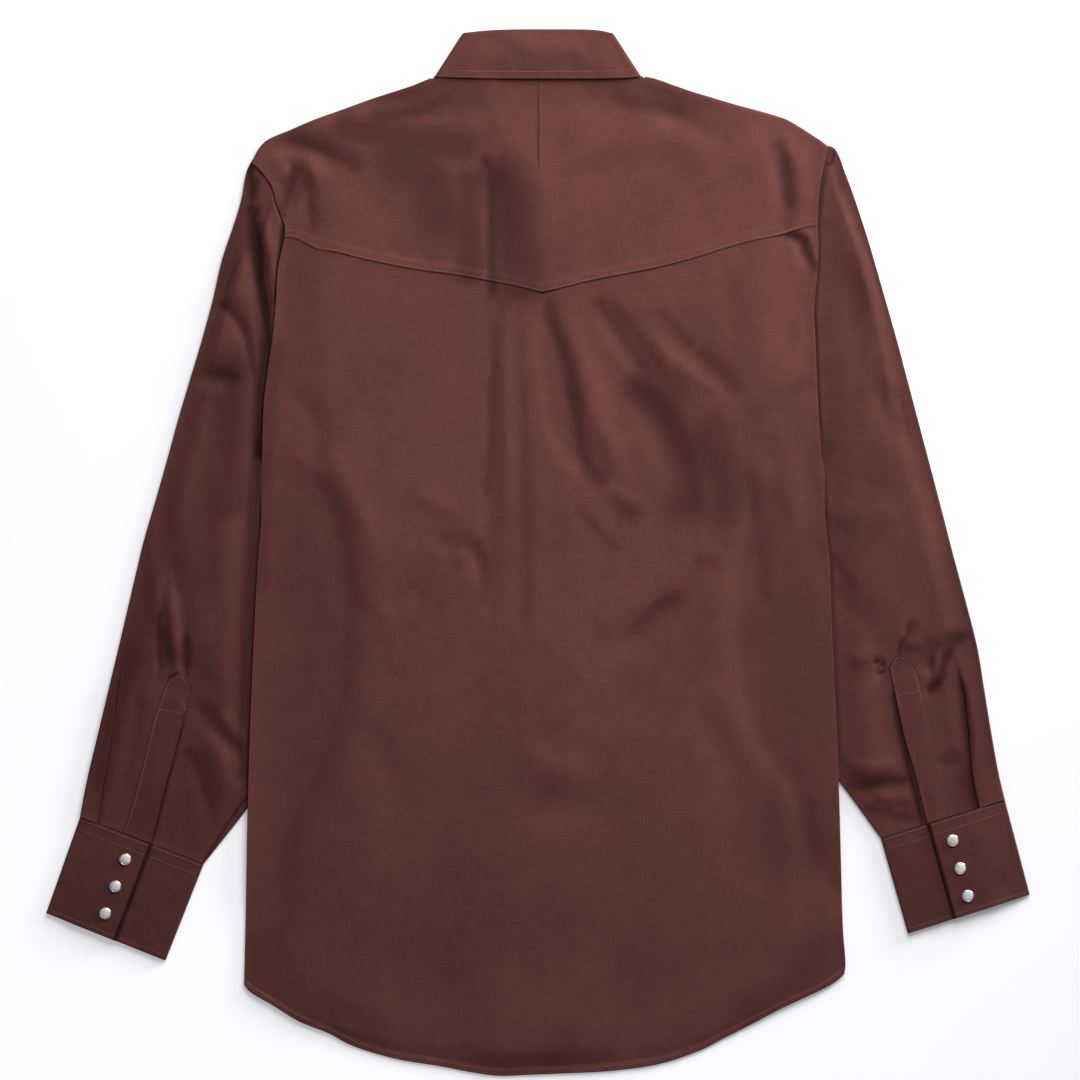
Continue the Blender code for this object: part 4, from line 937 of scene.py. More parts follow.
def soft_tone():
    """Slow variation of the dye over a panel."""
    group, tree, entry, leave = node_group(
        "soft tone", (("Vector", "NodeSocketVector", None),), (("Tone", "NodeSocketFloat"),))
    broad = tree.noise(entry["Vector"], 9.0, 2.0)
    cloudy = tree.noise(entry["Vector"], 60.0, 3.0)
    both = tree.plus(tree.times(broad, 0.6), tree.times(cloudy, 0.4))
    tree.put(leave, "Tone", tree.ranged(both, 0.3, 0.7))
    return group


WEAVE = plain_weave()
PUCKER = seam_pucker()
TONE = soft_tone()


def material(name, **constants):
    """New material: its short calls and its shader, with the given values."""
    made = bpy.data.materials.new(name)
    made.use_nodes = True
    shader = made.node_tree.nodes["Principled BSDF"]
    for key, value in constants.items():
        shader.inputs[key.replace("_", " ")].default_value = opaque(value)
    return made, Tree(made.node_tree), shader


def finished(tree, shader, colour, roughness, normal):
    """Links a shader's colour, roughness and normal."""
    tree.put(shader, "Base Color", colour)
    tree.put(shader, "Roughness", roughness)
    tree.put(shader, "Normal", normal)


def cloth_finish(name, dark, light, pucker_width, weave_depth):
    """Woven cotton blend: slubby plain weave, soft sheen, gathers beside the seams, and painted
    shade that darkens the colour towards near black.
    """
    made, tree, shader = material(name, Sheen_Weight=0.02, Sheen_Roughness=0.4,
                                  Sheen_Tint=(0.80, 0.48, 0.42), Specular_IOR_Level=0.08)
    grain = tree.add("ShaderNodeUVMap", {"uv_map": "grain"}).outputs["UV"]
    border = tree.add("ShaderNodeAttribute", {"attribute_name": "border"}).outputs["Fac"]
    weave = tree.add("ShaderNodeGroup", {"node_tree": WEAVE}, Vector=grain, Threads=2600.0)
    pucker = tree.add("ShaderNodeGroup", {"node_tree": PUCKER}, Vector=grain, Border=border,
                      Width=pucker_width)
    tone = tree.add("ShaderNodeGroup", {"node_tree": TONE}, Vector=grain)
    share = tree.plus(tree.times(weave.outputs["Tone"], 0.58),
                      tree.times(tone.outputs["Tone"], 0.42))
    base = tree.coloured(share, dark, light)
    rubbed = tree.coloured(tree.times(pucker.outputs["Rub"], 0.35), base,
                           tuple(1.35 * value for value in light))
    # painted shade: the crease attribute mixes the colour towards near black
    crease = tree.add("ShaderNodeAttribute", {"attribute_name": "crease"}).outputs["Fac"]
    fine = tree.bump(weave.outputs["Height"], 0.55, weave_depth)
    finished(tree, shader, tree.coloured(crease, rubbed, (0.012, 0.0028, 0.0022)),
             tree.ranged(weave.outputs["Tone"], 0.0, 1.0, 0.88, 0.76),
             tree.bump(pucker.outputs["Height"], 0.5, 0.0012, Normal=fine))
    return made


def thread_finish():
    """Twisted sewing thread, a shade lighter than the cloth."""
    made, tree, shader = material("sewing_thread", Sheen_Weight=0.15)
    place = tree.place()
    twist = tree.add("ShaderNodeTexWave", {"wave_type": "BANDS", "bands_direction": "DIAGONAL"},
                     Vector=place, Scale=1900.0, Distortion=1.5).outputs["Fac"]
    fibres = tree.noise(place, 700.0, 3.0)
    finished(tree, shader, tree.coloured(fibres, (0.096, 0.040, 0.034), (0.155, 0.074, 0.063)),
             tree.ranged(fibres, 0.3, 0.7, 0.50, 0.66), tree.bump(twist, 0.4, 0.00008))
    return made


def pearl_finish():
    """Pearl face of a snap: clouded white under a clear gloss."""
    made, tree, shader = material("snap_pearl_face", Coat_Weight=0.5, Coat_Roughness=0.12)
    place = tree.place()
    cloud = tree.noise(tree.scaled(place, (260.0, 120.0, 200.0), 0.5), 1.0, 4.0)
    streak = tree.noise(tree.scaled(place, (90.0, 700.0, 200.0), 0.9), 1.0, 3.0)
    base = tree.coloured(tree.ranged(cloud, 0.35, 0.65), (0.34, 0.34, 0.325),
                         (0.50, 0.495, 0.475))
    shimmer = tree.times(tree.ranged(streak, 0.45, 0.75), 0.35)
    finished(tree, shader, tree.coloured(shimmer, base, (0.42, 0.45, 0.48)),
             tree.ranged(streak, 0.3, 0.7, 0.16, 0.30), tree.bump(cloud, 0.15, 0.0002))
    return made


def rim_finish():
    """Bright ring round the pearl, with faint turning marks."""
    made, tree, shader = material("snap_metal_rim", Metallic=1.0)
    marks = tree.noise(tree.place(), 1400.0, 3.0)
    finished(tree, shader, tree.coloured(marks, (0.55, 0.54, 0.53), (0.78, 0.77, 0.76)),
             tree.ranged(marks, 0.3, 0.7, 0.22, 0.38), tree.bump(marks, 0.1, 0.0001))
    return made


# columns: name, darker and lighter thread, width of the puckers beside a seam, depth of weave
CLOTH_FINISH, SLEEVE_SHADED_FINISH, BAND_FINISH, CUFF_SHADED_FINISH = [cloth_finish(*row) for row in (
    ("chestnut_cotton", (0.0570, 0.0182, 0.0154), (0.1097, 0.0374, 0.0316), 7.0, 0.00018),
    # darker copy of the body's cloth: painted shade for the less light that the sleeves give back
    ("chestnut_cotton_sleeve", (0.0464, 0.0145, 0.0122), (0.0902, 0.0298, 0.0252), 7.0,
     0.00018),
    ("chestnut_cotton_band", (0.0500, 0.0160, 0.0136), (0.0960, 0.0326, 0.0278), 4.0, 0.00015),
    # a still darker copy, for cuffs and sleeve plackets: painted shade
    ("chestnut_cotton_cuff", (0.0415, 0.0131, 0.0110), (0.0810, 0.0272, 0.0230), 4.0, 0.00015),
)]
THREAD = thread_finish()
PEARL = pearl_finish()
RIM = rim_finish()


# ---- Making pieces

def stations(count, near_start=(), near_end=(), extra=()):
    """Shares from 0 to 1: even steps, and more near the ends and at extra places."""
    shares = set(round(index / count, 6) for index in range(count + 1))
    shares.update(near_start)
    shares.update(1.0 - share for share in near_end)
    shares.update(extra)
    kept = [0.0]
    for share in sorted(shares):
        if share - kept[-1] > 0.0004:
            kept.append(share)
    kept[-1] = 1.0
    return kept


def show(name, shape, finish, nodes=()):
    """Object from a bmesh, riding on the part and standing for its nodes."""
    mesh = bpy.data.meshes.new(name)
    shape.to_mesh(mesh)
    shape.free()
    mesh.shade_smooth()
    mesh.materials.append(finish)
    piece = bpy.data.objects.new(name, mesh)
    bpy.context.collection.objects.link(piece)
    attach(piece, "root")
    if nodes:
        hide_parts(*nodes)
    return piece


def laid(name, columns, rows, place, wall, finish, size, turn=0.0, keep=None, closed=False,
         shade=None):
    """Piece of cloth: a grid laid by place(u, v) at the given shares, given its wall.

    size is the cut's rough width and length; turn is the angle of its grain;
    shade(u, v, x, y) says how much painted shade darkens a point's colour, from 0 to 1."""
    across = len(columns) - 1
    along = len(rows) - 1
    grid = bmesh.new()
    bmesh.ops.create_grid(grid, x_segments=across, y_segments=along, size=0.5)
    if keep:
        spare = []
        for face in grid.faces:
            centre = face.calc_center_median()
            column = int((centre.x + 0.5) * across)
            row = int((centre.y + 0.5) * along)
            if not keep((columns[column] + columns[column + 1]) / 2,
                        (rows[row] + rows[row + 1]) / 2):
                spare.append(face)
        bmesh.ops.delete(grid, geom=spare, context="FACES")
    border = grid.verts.layers.float.new("border")
    # painted shade: how far each vertex's colour is darkened, read by the cloth finish
    crease = grid.verts.layers.float.new("crease")
    for vertex in grid.verts:
        u = columns[round((vertex.co.x + 0.5) * across)]
        v = rows[round((vertex.co.y + 0.5) * along)]
        x, y, z = place(u, v)
        vertex.co = (x * MM, y * MM, z * MM)
        if shade:
            vertex[crease] = min(shade(u, v, x, y), 1.0)
        inset = min(v, 1.0 - v) * size[1]
        if not closed:
            inset = min(inset, min(u, 1.0 - u) * size[0])
        vertex[border] = inset
    bmesh.ops.remove_doubles(grid, verts=grid.verts, dist=1e-6)
    grain = grid.loops.layers.uv.new("grain")
    cos = math.cos(turn)
    sin = math.sin(turn)
    for face in grid.faces:
        for loop in face.loops:
            x = loop.vert.co.x
            y = loop.vert.co.y
            loop[grain].uv = (x * cos + y * sin, y * cos - x * sin)
    cut_area = sum(face.calc_area() for face in grid.faces)
    piece = show(name, grid, finish, (name.replace("_cloth", ""),))
    wall_maker = piece.modifiers.new("Wall", "SOLIDIFY")
    wall_maker.thickness = wall * MM
    wall_maker.offset = 0.0
    wall_maker.use_even_offset = True
    wall_maker.use_quality_normals = True
    piece["cut_area"] = cut_area
    return piece


def cut(piece):
    """Removes the cut_area note that laid() left on a piece of cloth."""
    del piece["cut_area"]


# ---- Body

def yoke_seam(above):
    """The pointed seam between back and yoke."""
    left = edge([(x, y + above) for x, y in YOKE_SEAM_LEFT])
    right = edge([(x, y + above) for x, y in YOKE_SEAM_RIGHT])
    return joined((0.5, left), (1.0, right))


def back_piece():
    """Back, from the hem up to the yoke."""
    hem = edge(HEM)
    seam = yoke_seam(0.0)
    left = edge(BACK_LEFT)
    right = edge(BACK_RIGHT)

    def place(u, v):
        x, y = patch(u, v, hem, seam, left, right)
        level = back_level(x, y, BACK_FOLDS)
        above = y - HEM_Y(x)
        if above < 40.0:
            level += HEM_PLIES * (1.0 - smooth((above - HEM_DEPTH - 0.8) / 1.6))
            level += 0.5 * max(ripple(x, y, 11.0, 30.0, 2.0), -0.2) * math.exp(-above / 9.0)
        below = YOKE_SEAM_Y(x) - y
        if below < 30.0:
            level += 0.25 * ripple(x, y, 9.0, 30.0, 5.0) * math.exp(-below / 7.0)
        return x, y, level

    # painted shade: a dark line along the back's left side edge, and the painted crease shade
    def shade(u, v, x, y):
        at_side = SIDE_SHADE if u == 0.0 else 0.0
        return max(at_side, crease_shade(x, y, BODY_PAINTED_SHADES))

    near_hem = (0.0015, 0.0035, 0.0055, 0.007, 0.0085, 0.0105, 0.013, 0.017)
    return laid("back_cloth", stations(136, NEAR_SIDE, NEAR_SIDE),
                stations(176, near_hem, (0.0015, 0.004, 0.008)),
                place, CLOTH, CLOTH_FINISH, (480.0, 610.0), shade=shade)


def shoulder_seat(point, inward, further=0.0):
    """Point of a shoulder's outline, moved in to where the yoke starts to turn over."""
    x, y = moved(point, inward, 2.0)
    radius = (back_level(x, y, YOKE_FOLDS) - front_level(x, y, LEFT_CENTRE)) / 2
    return moved(point, inward, radius + CLOTH / 2 + further)


def yoke_piece():
    """Back yoke, folded over both shoulders."""
    left_outline = edge(SHOULDER_LEFT)
    right_outline = edge(SHOULDER_RIGHT)

    def left_shoulder(share):
        return shoulder_seat(left_outline(share), INWARD_LEFT)

    def right_shoulder(share):
        return shoulder_seat(right_outline(share), INWARD_RIGHT)

    neck = [left_shoulder(1.0)] + list(BACK_NECK) + [right_shoulder(0.0)]
    top = joined((NECK_SHARE, left_shoulder), (1.0 - NECK_SHARE, edge(neck)),
                 (1.0, right_shoulder))
    seam = yoke_seam(-0.15)
    left = edge([seam(0.0)] + list(YOKE_LEFT[1:-1]) + [top(0.0)])
    right = edge([seam(1.0)] + list(YOKE_RIGHT[1:-1]) + [top(1.0)])

    def place(u, v):
        if v <= ON_TOP:
            x, y = patch(u, v / ON_TOP, seam, top, left, right)
            level = back_level(x, y, YOKE_FOLDS)
            above = y - YOKE_SEAM_Y(x)
            level += YOKE_STEP * (1.0 - smooth((above - 6.0) / 2.5))
            level += 0.2 * ripple(x, y, 9.0, 30.0, 6.0) * math.exp(-above / 7.0)
            crease = math.exp(-((x - 0.7) / 1.1) ** 2) * smooth((y - 285.0) / 60.0)
            level += 0.4 * crease * (1.0 - 0.6 * smooth((y - 372.0) / 20.0))
            return x, y, level
        inward = INWARD_LEFT if u < 0.5 else INWARD_RIGHT
        start = top(u)
        level = back_level(start[0], start[1], YOKE_FOLDS)
        below = front_level(start[0], start[1], LEFT_CENTRE)
        radius = (level - below) / 2
        if v <= AFTER_ROLL:
            angle = math.pi * (v - ON_TOP) / (AFTER_ROLL - ON_TOP)
            x, y = moved(start, inward, -radius * math.sin(angle))
            return x, y, below + radius + radius * math.cos(angle)
        wrap = (v - AFTER_ROLL) / (1.0 - AFTER_ROLL)
        x, y = moved(start, inward, SHOULDER_WRAP * wrap)
        return x, y, below

    # painted shade: dark lines along the yoke's lower edge and its ends, and the painted crease
    # shade
    def shade(u, v, x, y):
        at_edge = EDGE_SHADE if v == 0.0 else 0.0
        if u in (0.0, 1.0) and v < ON_TOP:
            at_edge = ARMHOLE_SHADE
        return max(at_edge, crease_shade(x, y, BODY_PAINTED_SHADES))

    def keep(u, v):
        on_shoulder = u < NECK_SHARE or u > 1.0 - NECK_SHARE
        clear_of_sleeve = SLEEVE_CLEAR < u < 1.0 - SLEEVE_CLEAR
        return v < ON_TOP or (on_shoulder and (v < AFTER_ROLL or clear_of_sleeve))

    rows = [ON_TOP * share for share in stations(44, (0.006, 0.013, 0.03, 0.045, 0.06))]
    rows += [ON_TOP + (AFTER_ROLL - ON_TOP) * index / ROLL_ROWS
             for index in range(1, ROLL_ROWS + 1)]
    rows += [AFTER_ROLL + (1.0 - AFTER_ROLL) * index / WRAP_ROWS
             for index in range(1, WRAP_ROWS + 1)]
    extra = [0.5 + shift for shift in (-0.009, -0.006, -0.0035, -0.0015, 0.0, 0.0015, 0.0035,
                                       0.006, 0.009)]
    extra += [NECK_SHARE, 1.0 - NECK_SHARE, SLEEVE_CLEAR, 1.0 - SLEEVE_CLEAR]
    return laid("yoke_cloth", stations(120, NEAR_SIDE, NEAR_SIDE, extra), rows, place, CLOTH,
                CLOTH_FINISH, (450.0, 160.0), keep=keep, shade=shade)


def front_side(side):
    """A front's outer edge: the side seam, then the armhole, beside the sleeve's head."""
    table = BACK_LEFT + YOKE_LEFT[1:] if side < 0 else BACK_RIGHT + YOKE_RIGHT[1:]
    points = [(x, y) for x, y in table if y < UNDERARM_Y - 12.0]
    for y in (97.0, 115.0, 140.0, 165.0, 190.0, 215.0, 235.0, 250.0, 265.0, 280.0, 300.0):
        clear = tuck(y) + ARMHOLE_GAP + 3.0 * smooth((150.0 - y) / 40.0)
        points.append((SIDE_X[side](y) - side * clear, y))
    return points


def front_run(line, share):
    """Plan point of a band's edge between the side of the neck and its end in front."""
    side = (line[1], line[2])
    curve = (line[3], line[4])
    end = (line[5], line[6])
    return mix(mix(side, curve, share), mix(curve, end, share), share)


def neck_line(start, side):
    """A front's neck edge, below the collar stand, from the shoulder to the centre."""
    points = [start]
    for share in (0.25, 0.4, 0.52, 0.62):
        x, y = front_run(NECK_SEAM, share)
        points.append((side * (x + SEAM), y - SEAM))
    points.append((side * (PLACKET_HALF + 4.0), NECK_SEAM[6] - SEAM))
    points.append((-side * PLACKET_HALF, NECK_SEAM[6] - SEAM))
    return points


def front_piece(name, side, centre):
    """A front panel, from its hem to the shoulder seam and the neck."""
    shoulder = edge(SHOULDER_LEFT) if side < 0 else edge(SHOULDER_RIGHT[::-1])
    inward = INWARD_LEFT if side < 0 else INWARD_RIGHT

    def shoulder_seam(share):
        return shoulder_seat(shoulder(0.15 + 0.85 * share), inward, SHOULDER_WRAP + SEAM)

    neck = neck_line(shoulder_seam(1.0), side)
    outer = front_side(side)
    outer.append(shoulder_seam(0.0))
    hem_start = outer[0]
    centre_x = -side * PLACKET_HALF
    count = 12
    hem = []
    for index in range(count + 1):
        x = hem_start[0] + (centre_x - hem_start[0]) * index / count
        hem.append((x, HEM_Y(x) + hem_gap(x)))
    hem[0] = hem_start
    top = joined((0.5, shoulder_seam), (1.0, edge(neck)))
    outer_edge = edge(outer)
    centre_edge = edge((hem[-1], neck[-1]))
    hem_edge = edge(hem)

    def place(u, v):
        share = u if side < 0 else 1.0 - u
        x, y = patch(share, v, hem_edge, top, outer_edge, centre_edge)
        return x, y, front_level(x, y, centre)

    near = (0.003, 0.008)
    return laid(name, stations(56, near, near), stations(110, near, near), place, CLOTH,
                CLOTH_FINISH, (250.0, 700.0))


def placket_piece():
    """Strip on the left front's edge, down to its hem."""
    top = NECK_SEAM[6] - SEAM

    def place(u, v):
        x = PLACKET_HALF * (2.0 * u - 1.0)
        bottom = HEM_Y(x) + hem_gap(x)
        y = bottom + (top - bottom) * v
        return x, y, PLACKET_LEVEL - placket_drop(y)

    return laid("placket_cloth", stations(8, (0.02,), (0.02,)), stations(120), place, BAND,
                BAND_FINISH, (36.0, 690.0))


# ---- Collar

def neck_band(u, line, radius_less, raised, front_height, extra=None):
    """Point of a band that runs from its left end round the neck to its right end."""
    index = round(u * 2 * HALF_STEPS)
    side = -1.0 if index < HALF_STEPS else 1.0
    step = abs(index - HALF_STEPS)
    side_x = line[1]
    side_y = line[2]
    high = back_level(side_x, 389.0) + raised
    low = front_height(side, 0.0)
    centre = (high + low) / 2
    turn = (high - low) / 2
    turn_x = side_x - turn - BAND / 2
    radius = turn - radius_less
    if step <= BACK_STEPS:
        share = step / BACK_STEPS
        x = turn_x * share
        y = line[0] + (side_y - line[0]) * share ** (3 if side < 0 else 7)
        z = back_level(side * x, min(y, 390.0)) + raised
        z = z + (high - z) * smooth((share - 0.7) / 0.3) - radius_less
        if extra:
            z += extra(side * x, y, share)
        return side * x, y, z
    if step <= BACK_STEPS + TURN_STEPS:
        angle = math.pi * (step - BACK_STEPS) / TURN_STEPS
        return side * (turn_x + radius * math.sin(angle)), side_y, \
            centre + radius * math.cos(angle)
    share = (step - BACK_STEPS - TURN_STEPS) / FRONT_STEPS
    start_line = line[:1] + (turn_x,) + line[2:]
    x, y = front_run(start_line, share)
    return side * x, y, front_height(side, share) + radius_less / 3


def stand_piece():
    """Collar stand: its ends overlap at the centre front, the left one outermost."""
    def height(side, share):
        end = PLACKET_LEVEL if side < 0 else PLACKET_LEVEL + BAND + SEAM
        return STAND_FRONT + (end - STAND_FRONT) * smooth((share - 0.25) / 0.45)

    def place(u, v):
        return neck_band(u, mix(NECK_SEAM, STAND_TOP, v), 0.0, 0.0, height)

    return laid("collar_stand_cloth", BAND_SHARES, stations(8), place, BAND, BAND_FINISH,
                (560.0, 30.0))


def leaf_piece():
    """Collar leaf, folded down over the stand, to its points in front."""
    def height(side, share):
        return LEAF_FRONT

    def place(u, v):
        curl = 0.6 * (1.0 - smooth(v / 0.035))

        def crown(x, y, share):
            fade = 1.0 - smooth((share - 0.72) / 0.28)
            arch = 1.1 * math.sin(math.pi * min(v / 0.95, 1.0)) + 0.9 * v ** 2
            edge_roll = -0.35 * smooth((v - 0.93) / 0.07)
            return fade * (arch + edge_roll + fold_height(x, y, LEAF_FOLDS)
                           + 0.35 * ripple(x, y, 26.0, 20.0, 4.4) * smooth(v / 0.2))
        return neck_band(u, mix(LEAF_FOLD, LEAF_EDGE, v), curl, BAND + SEAM, height, crown)

    # painted shade: a dark line along the leaf's lower edge, where its shadow falls
    def shade(u, v, x, y):
        return EDGE_SHADE if v == 1.0 else 0.0

    return laid("collar_cloth", BAND_SHARES, LEAF_ROWS, place, BAND, BAND_FINISH, (560.0, 60.0),
                shade=shade)


# ---- Sleeves

def sleeve_section(side, share):
    """Ends of a sleeve's section in plan: its outer and its inner point."""
    rows = SLEEVE_ROWS[side]
    place_in_rows = share * (len(rows) - 1)
    index = min(int(place_in_rows), len(rows) - 2)
    t = place_in_rows - index
    before = rows[max(index - 1, 0)]
    after = rows[min(index + 2, len(rows) - 1)]
    values = []
    for p0, p1, p2, p3 in zip(before, rows[index], rows[index + 1], after):
        slope_in = (p2 - p0) / 2
        slope_out = (p3 - p1) / 2
        value = p1 + t * (slope_in + t * (3 * (p2 - p1) - 2 * slope_in - slope_out
                                          + t * (2 * (p1 - p2) + slope_in + slope_out)))
        values.append(value)
    return (values[0], values[1]), (values[2], values[3])


def head_bow(side, y, across, share):
    """How far a section bends towards the body, to follow the armhole."""
    head = SLEEVE_ROWS[side][0]
    if not head[3] < y < head[1]:
        return 0.0
    straight = head[0] + (head[2] - head[0]) * (head[1] - y) / (head[1] - head[3])
    bend = SIDE_X[side](y) - side * tuck(y) - straight
    fade = (1.0 - smooth(share / 0.4)) * smooth(min(across, 1.0 - across) / 0.04)
    return bend * fade


def near_gauntlet(side, x, y):
    """1 below a sleeve placket, falling to 0 beside it."""
    gap = nearest(x, y, GAUNTLET_MIDDLE[side])[0]
    return 1.0 - smooth((gap - 16.0) / 26.0)


def pleat_height(side, across, share):
    """The outer strip beside the cuff's pleat lies one ply higher."""
    at = PLEAT_AT[side](share)
    rise = smooth((share - PLEAT_START[side]) / 0.07)
    return PLEAT * rise * (1.0 - smooth((across - at) / 0.008 + 0.5))


def sleeve_level(side, x, y, across, width, share):
    """Height of a sleeve's upper ply."""
    inset = min(across, 1.0 - across) * width
    beside_body = side * (x - SIDE_X[side](y))
    free = 0.45 * smooth((beside_body - 0.3) / 2.6) + 0.55 * smooth((beside_body - 2.0) / 24.0)
    free *= smooth((inset - 1.0) / 22.0) * smooth((1.0 - share) / 0.09)
    air = SLEEVE_AIR * (1.0 - 0.6 * near_gauntlet(side, x, y))
    lift = (air + uneven(x, y, SLEEVE_UNEVEN)) * free
    lift += fold_height(x, y, SLEEVE_FOLDS) * min(free * 2.5, 1.0)
    lift = 0.5 * (lift + math.sqrt(lift * lift + 0.3 * free))
    gather = 0.35 * ripple(x, y, 7.0, 40.0, 21.0) * smooth((share - 0.93) / 0.05)
    gather *= smooth(inset / 6.0)
    return SLEEVE_TOP + lift + max(gather, 0.0) + pleat_height(side, across, share)


def sleeve_across(side, value, share):
    """Share across a sleeve at one of its stations, which are closer beside the pleat."""
    at = PLEAT_AT[side](share)
    if value < 0.12:
        return value / 0.12 * at
    return at + (value - 0.12) / 0.88 * (1.0 - at)


def sleeve_point(side, station, share):
    """Point of a sleeve's wall at one station of one section."""
    part, value = station
    outer, inner = sleeve_section(side, share)
    width = math.dist(outer, inner)
    direction = ((inner[0] - outer[0]) / width, (inner[1] - outer[1]) / width)
    across = {"upper": value, "lower": value, "inner": 1.0, "outer": 0.0}[part]
    if part == "upper":
        across = sleeve_across(side, value, share)
    level = sleeve_level(side, *mix(outer, inner, across), across, width, share)
    end_level = level
    if part in ("upper", "lower"):
        end_level = SLEEVE_TOP
    radius = (end_level - FLOOR_LEVEL) / 2
    margin = radius + CLOTH / 2
    if part in ("upper", "lower"):
        flat = moved(outer, direction, margin + across * (width - 2 * margin))
        flat = (flat[0] + head_bow(side, flat[1], across, share), flat[1])
        if part == "lower":
            return flat[0], flat[1], FLOOR_LEVEL
        return flat[0], flat[1], sleeve_level(side, *flat, across, width, share)
    angle = math.radians(value)
    reach = radius * math.sin(angle)
    height = FLOOR_LEVEL + radius
    if part == "inner":
        x, y = moved(inner, direction, reach - margin)
        return x, y, height + radius * math.cos(angle)
    x, y = moved(outer, direction, margin - reach)
    return x, y, height - radius * math.cos(angle)


def sleeve_piece(name, side, turn):
    """Sleeve: a flattened tube, open at the armhole and at the cuff."""
    upper = stations(72, (0.004, 0.01, 0.02, 0.09, 0.105, 0.112, 0.1165, 0.12, 0.1235, 0.128,
                          0.136, 0.15), (0.004, 0.01, 0.02))
    lower = stations(24)
    turns = [180.0 * index / 8 for index in range(1, 8)]
    around = [("upper", share) for share in upper]
    around += [("inner", angle) for angle in turns]
    around += [("lower", share) for share in lower[::-1]]
    around += [("outer", angle) for angle in turns]
    if side > 0:
        around = around[::-1]
    count = len(around)

    def place(u, v):
        return sleeve_point(side, around[round(u * count) % count], 1.0 - v)

    # painted shade: dark beside the body's edge, along the seam allowance, below the pleat's step,
    # and the painted crease shade
    def shade(u, v, x, y):
        part, value = around[round(u * count) % count]
        if part != "upper":
            return 0.0
        share = 1.0 - v
        beside_body = side * (x - SIDE_X[side](y))
        on_yoke = smooth((y - 225.0) / 20.0)
        dark = EDGE_SHADE * (1.0 - 0.75 * on_yoke)
        if side > 0:
            dark = EDGE_SHADE * (0.15 + 0.45 * on_yoke)
        dark *= 1.0 - smooth((beside_body - 0.3) / (2.4 - 0.9 * on_yoke))
        if side > 0:
            gap = beside_body - ALLOWANCE
            near_top = on_yoke * smooth((y - 262.0) / 40.0)
            width = 0.6 if gap < 0 else 1.4
            dark = max(dark, ALLOWANCE_SHADE * near_top * math.exp(-(gap / width) ** 2))
        gap = (sleeve_across(side, value, share) - PLEAT_AT[side](share)) \
            * math.dist(*sleeve_section(side, share))
        pleat = smooth((share - PLEAT_START[side]) / 0.05)
        dark = max(dark, PLEAT_SHADE * pleat
                   * math.exp(-abs(gap / (0.7 if gap < 0 else PLEAT_SOFT[side])) ** 1.4))
        return max(dark, crease_shade(x, y, SLEEVE_PAINTED_SHADES))

    return laid(name, [index / count for index in range(count + 1)],
                stations(190, (0.002, 0.005), (0.002, 0.005)), place, CLOTH, SLEEVE_SHADED_FINISH,
                (330.0, 640.0), turn=turn, closed=True, shade=shade)


def cast_tree(piece):
    """The finished surface of a piece, to find heights on it."""
    return BVHTree.FromObject(piece, bpy.context.evaluated_depsgraph_get())


def surface(tree, x, y, from_above=True):
    """Point and normal of a piece's surface at a plan place, in metres."""
    sign = 1.0 if from_above else -1.0
    start = Vector((x * MM, y * MM, 0.05 * sign))
    place, normal = tree.ray_cast(start, Vector((0.0, 0.0, -sign)))[:2]
    return place, normal


def gauntlet_piece(name, side, table, sleeve_tree):
    """Sleeve placket: a strip with a rounded top, on the sleeve.

    One long edge is free below the box; the other is sewn down flat."""
    left, right, top = [edge(points) for points in table]
    bottom = edge((table[0][0], table[1][0]))

    def from_free_edge(u):
        return 1.0 - u if side < 0 else u

    def above_box(u, v):
        return v - mix(BOX_SHARES[side][:1], BOX_SHARES[side][1:], u)[0]

    def place(u, v):
        x, y = patch(u, v, bottom, top, left, right)
        heights = []
        for shift_x, shift_y in ((0.0, 0.0), (4.0, 0.0), (-4.0, 0.0), (0.0, 4.0), (0.0, -4.0)):
            found = surface(sleeve_tree, x + shift_x, y + shift_y)[0]
            if found:
                heights.append(found.z / MM)
        level = max(heights[0], sum(heights) / len(heights))
        sewn = smooth((from_free_edge(u) - 0.35) / 0.6)
        sewn = max(sewn, 0.75 * smooth(above_box(u, v) / 0.05))
        return x, y, level + SEAM + CLOTH / 2 - 1.05 * sewn

    # painted shade: dark lines round the placket's top, along its free edge and, fainter, along
    # its sewn edge
    def shade(u, v, x, y):
        if above_box(u, v) > 0.0:
            inset = min(24.0 * min(u, 1.0 - u), 130.0 * (1.0 - v))
            return 0.75 * math.exp(-(inset / 0.7) ** 2)
        if from_free_edge(u) < 0.01:
            return FREE_SHADE
        return 0.25 if from_free_edge(u) == 1.0 else 0.0

    near = (0.035, 0.07, 0.12)
    return laid(name, stations(10, near, near), stations(56, (0.006,), (0.006, 0.015)), place,
                CLOTH, CUFF_SHADED_FINISH, (24.0, 130.0), turn=math.radians(14.0 * side), shade=shade)


# ---- Cuffs

def cuff_plan(corners, across, down):
    """Plan point of a cuff; across runs from the outer edge to the inner one."""
    top_outer, top_inner, bottom_outer, bottom_inner = corners
    return mix(mix(top_outer, top_inner, across), mix(bottom_outer, bottom_inner, across), down)


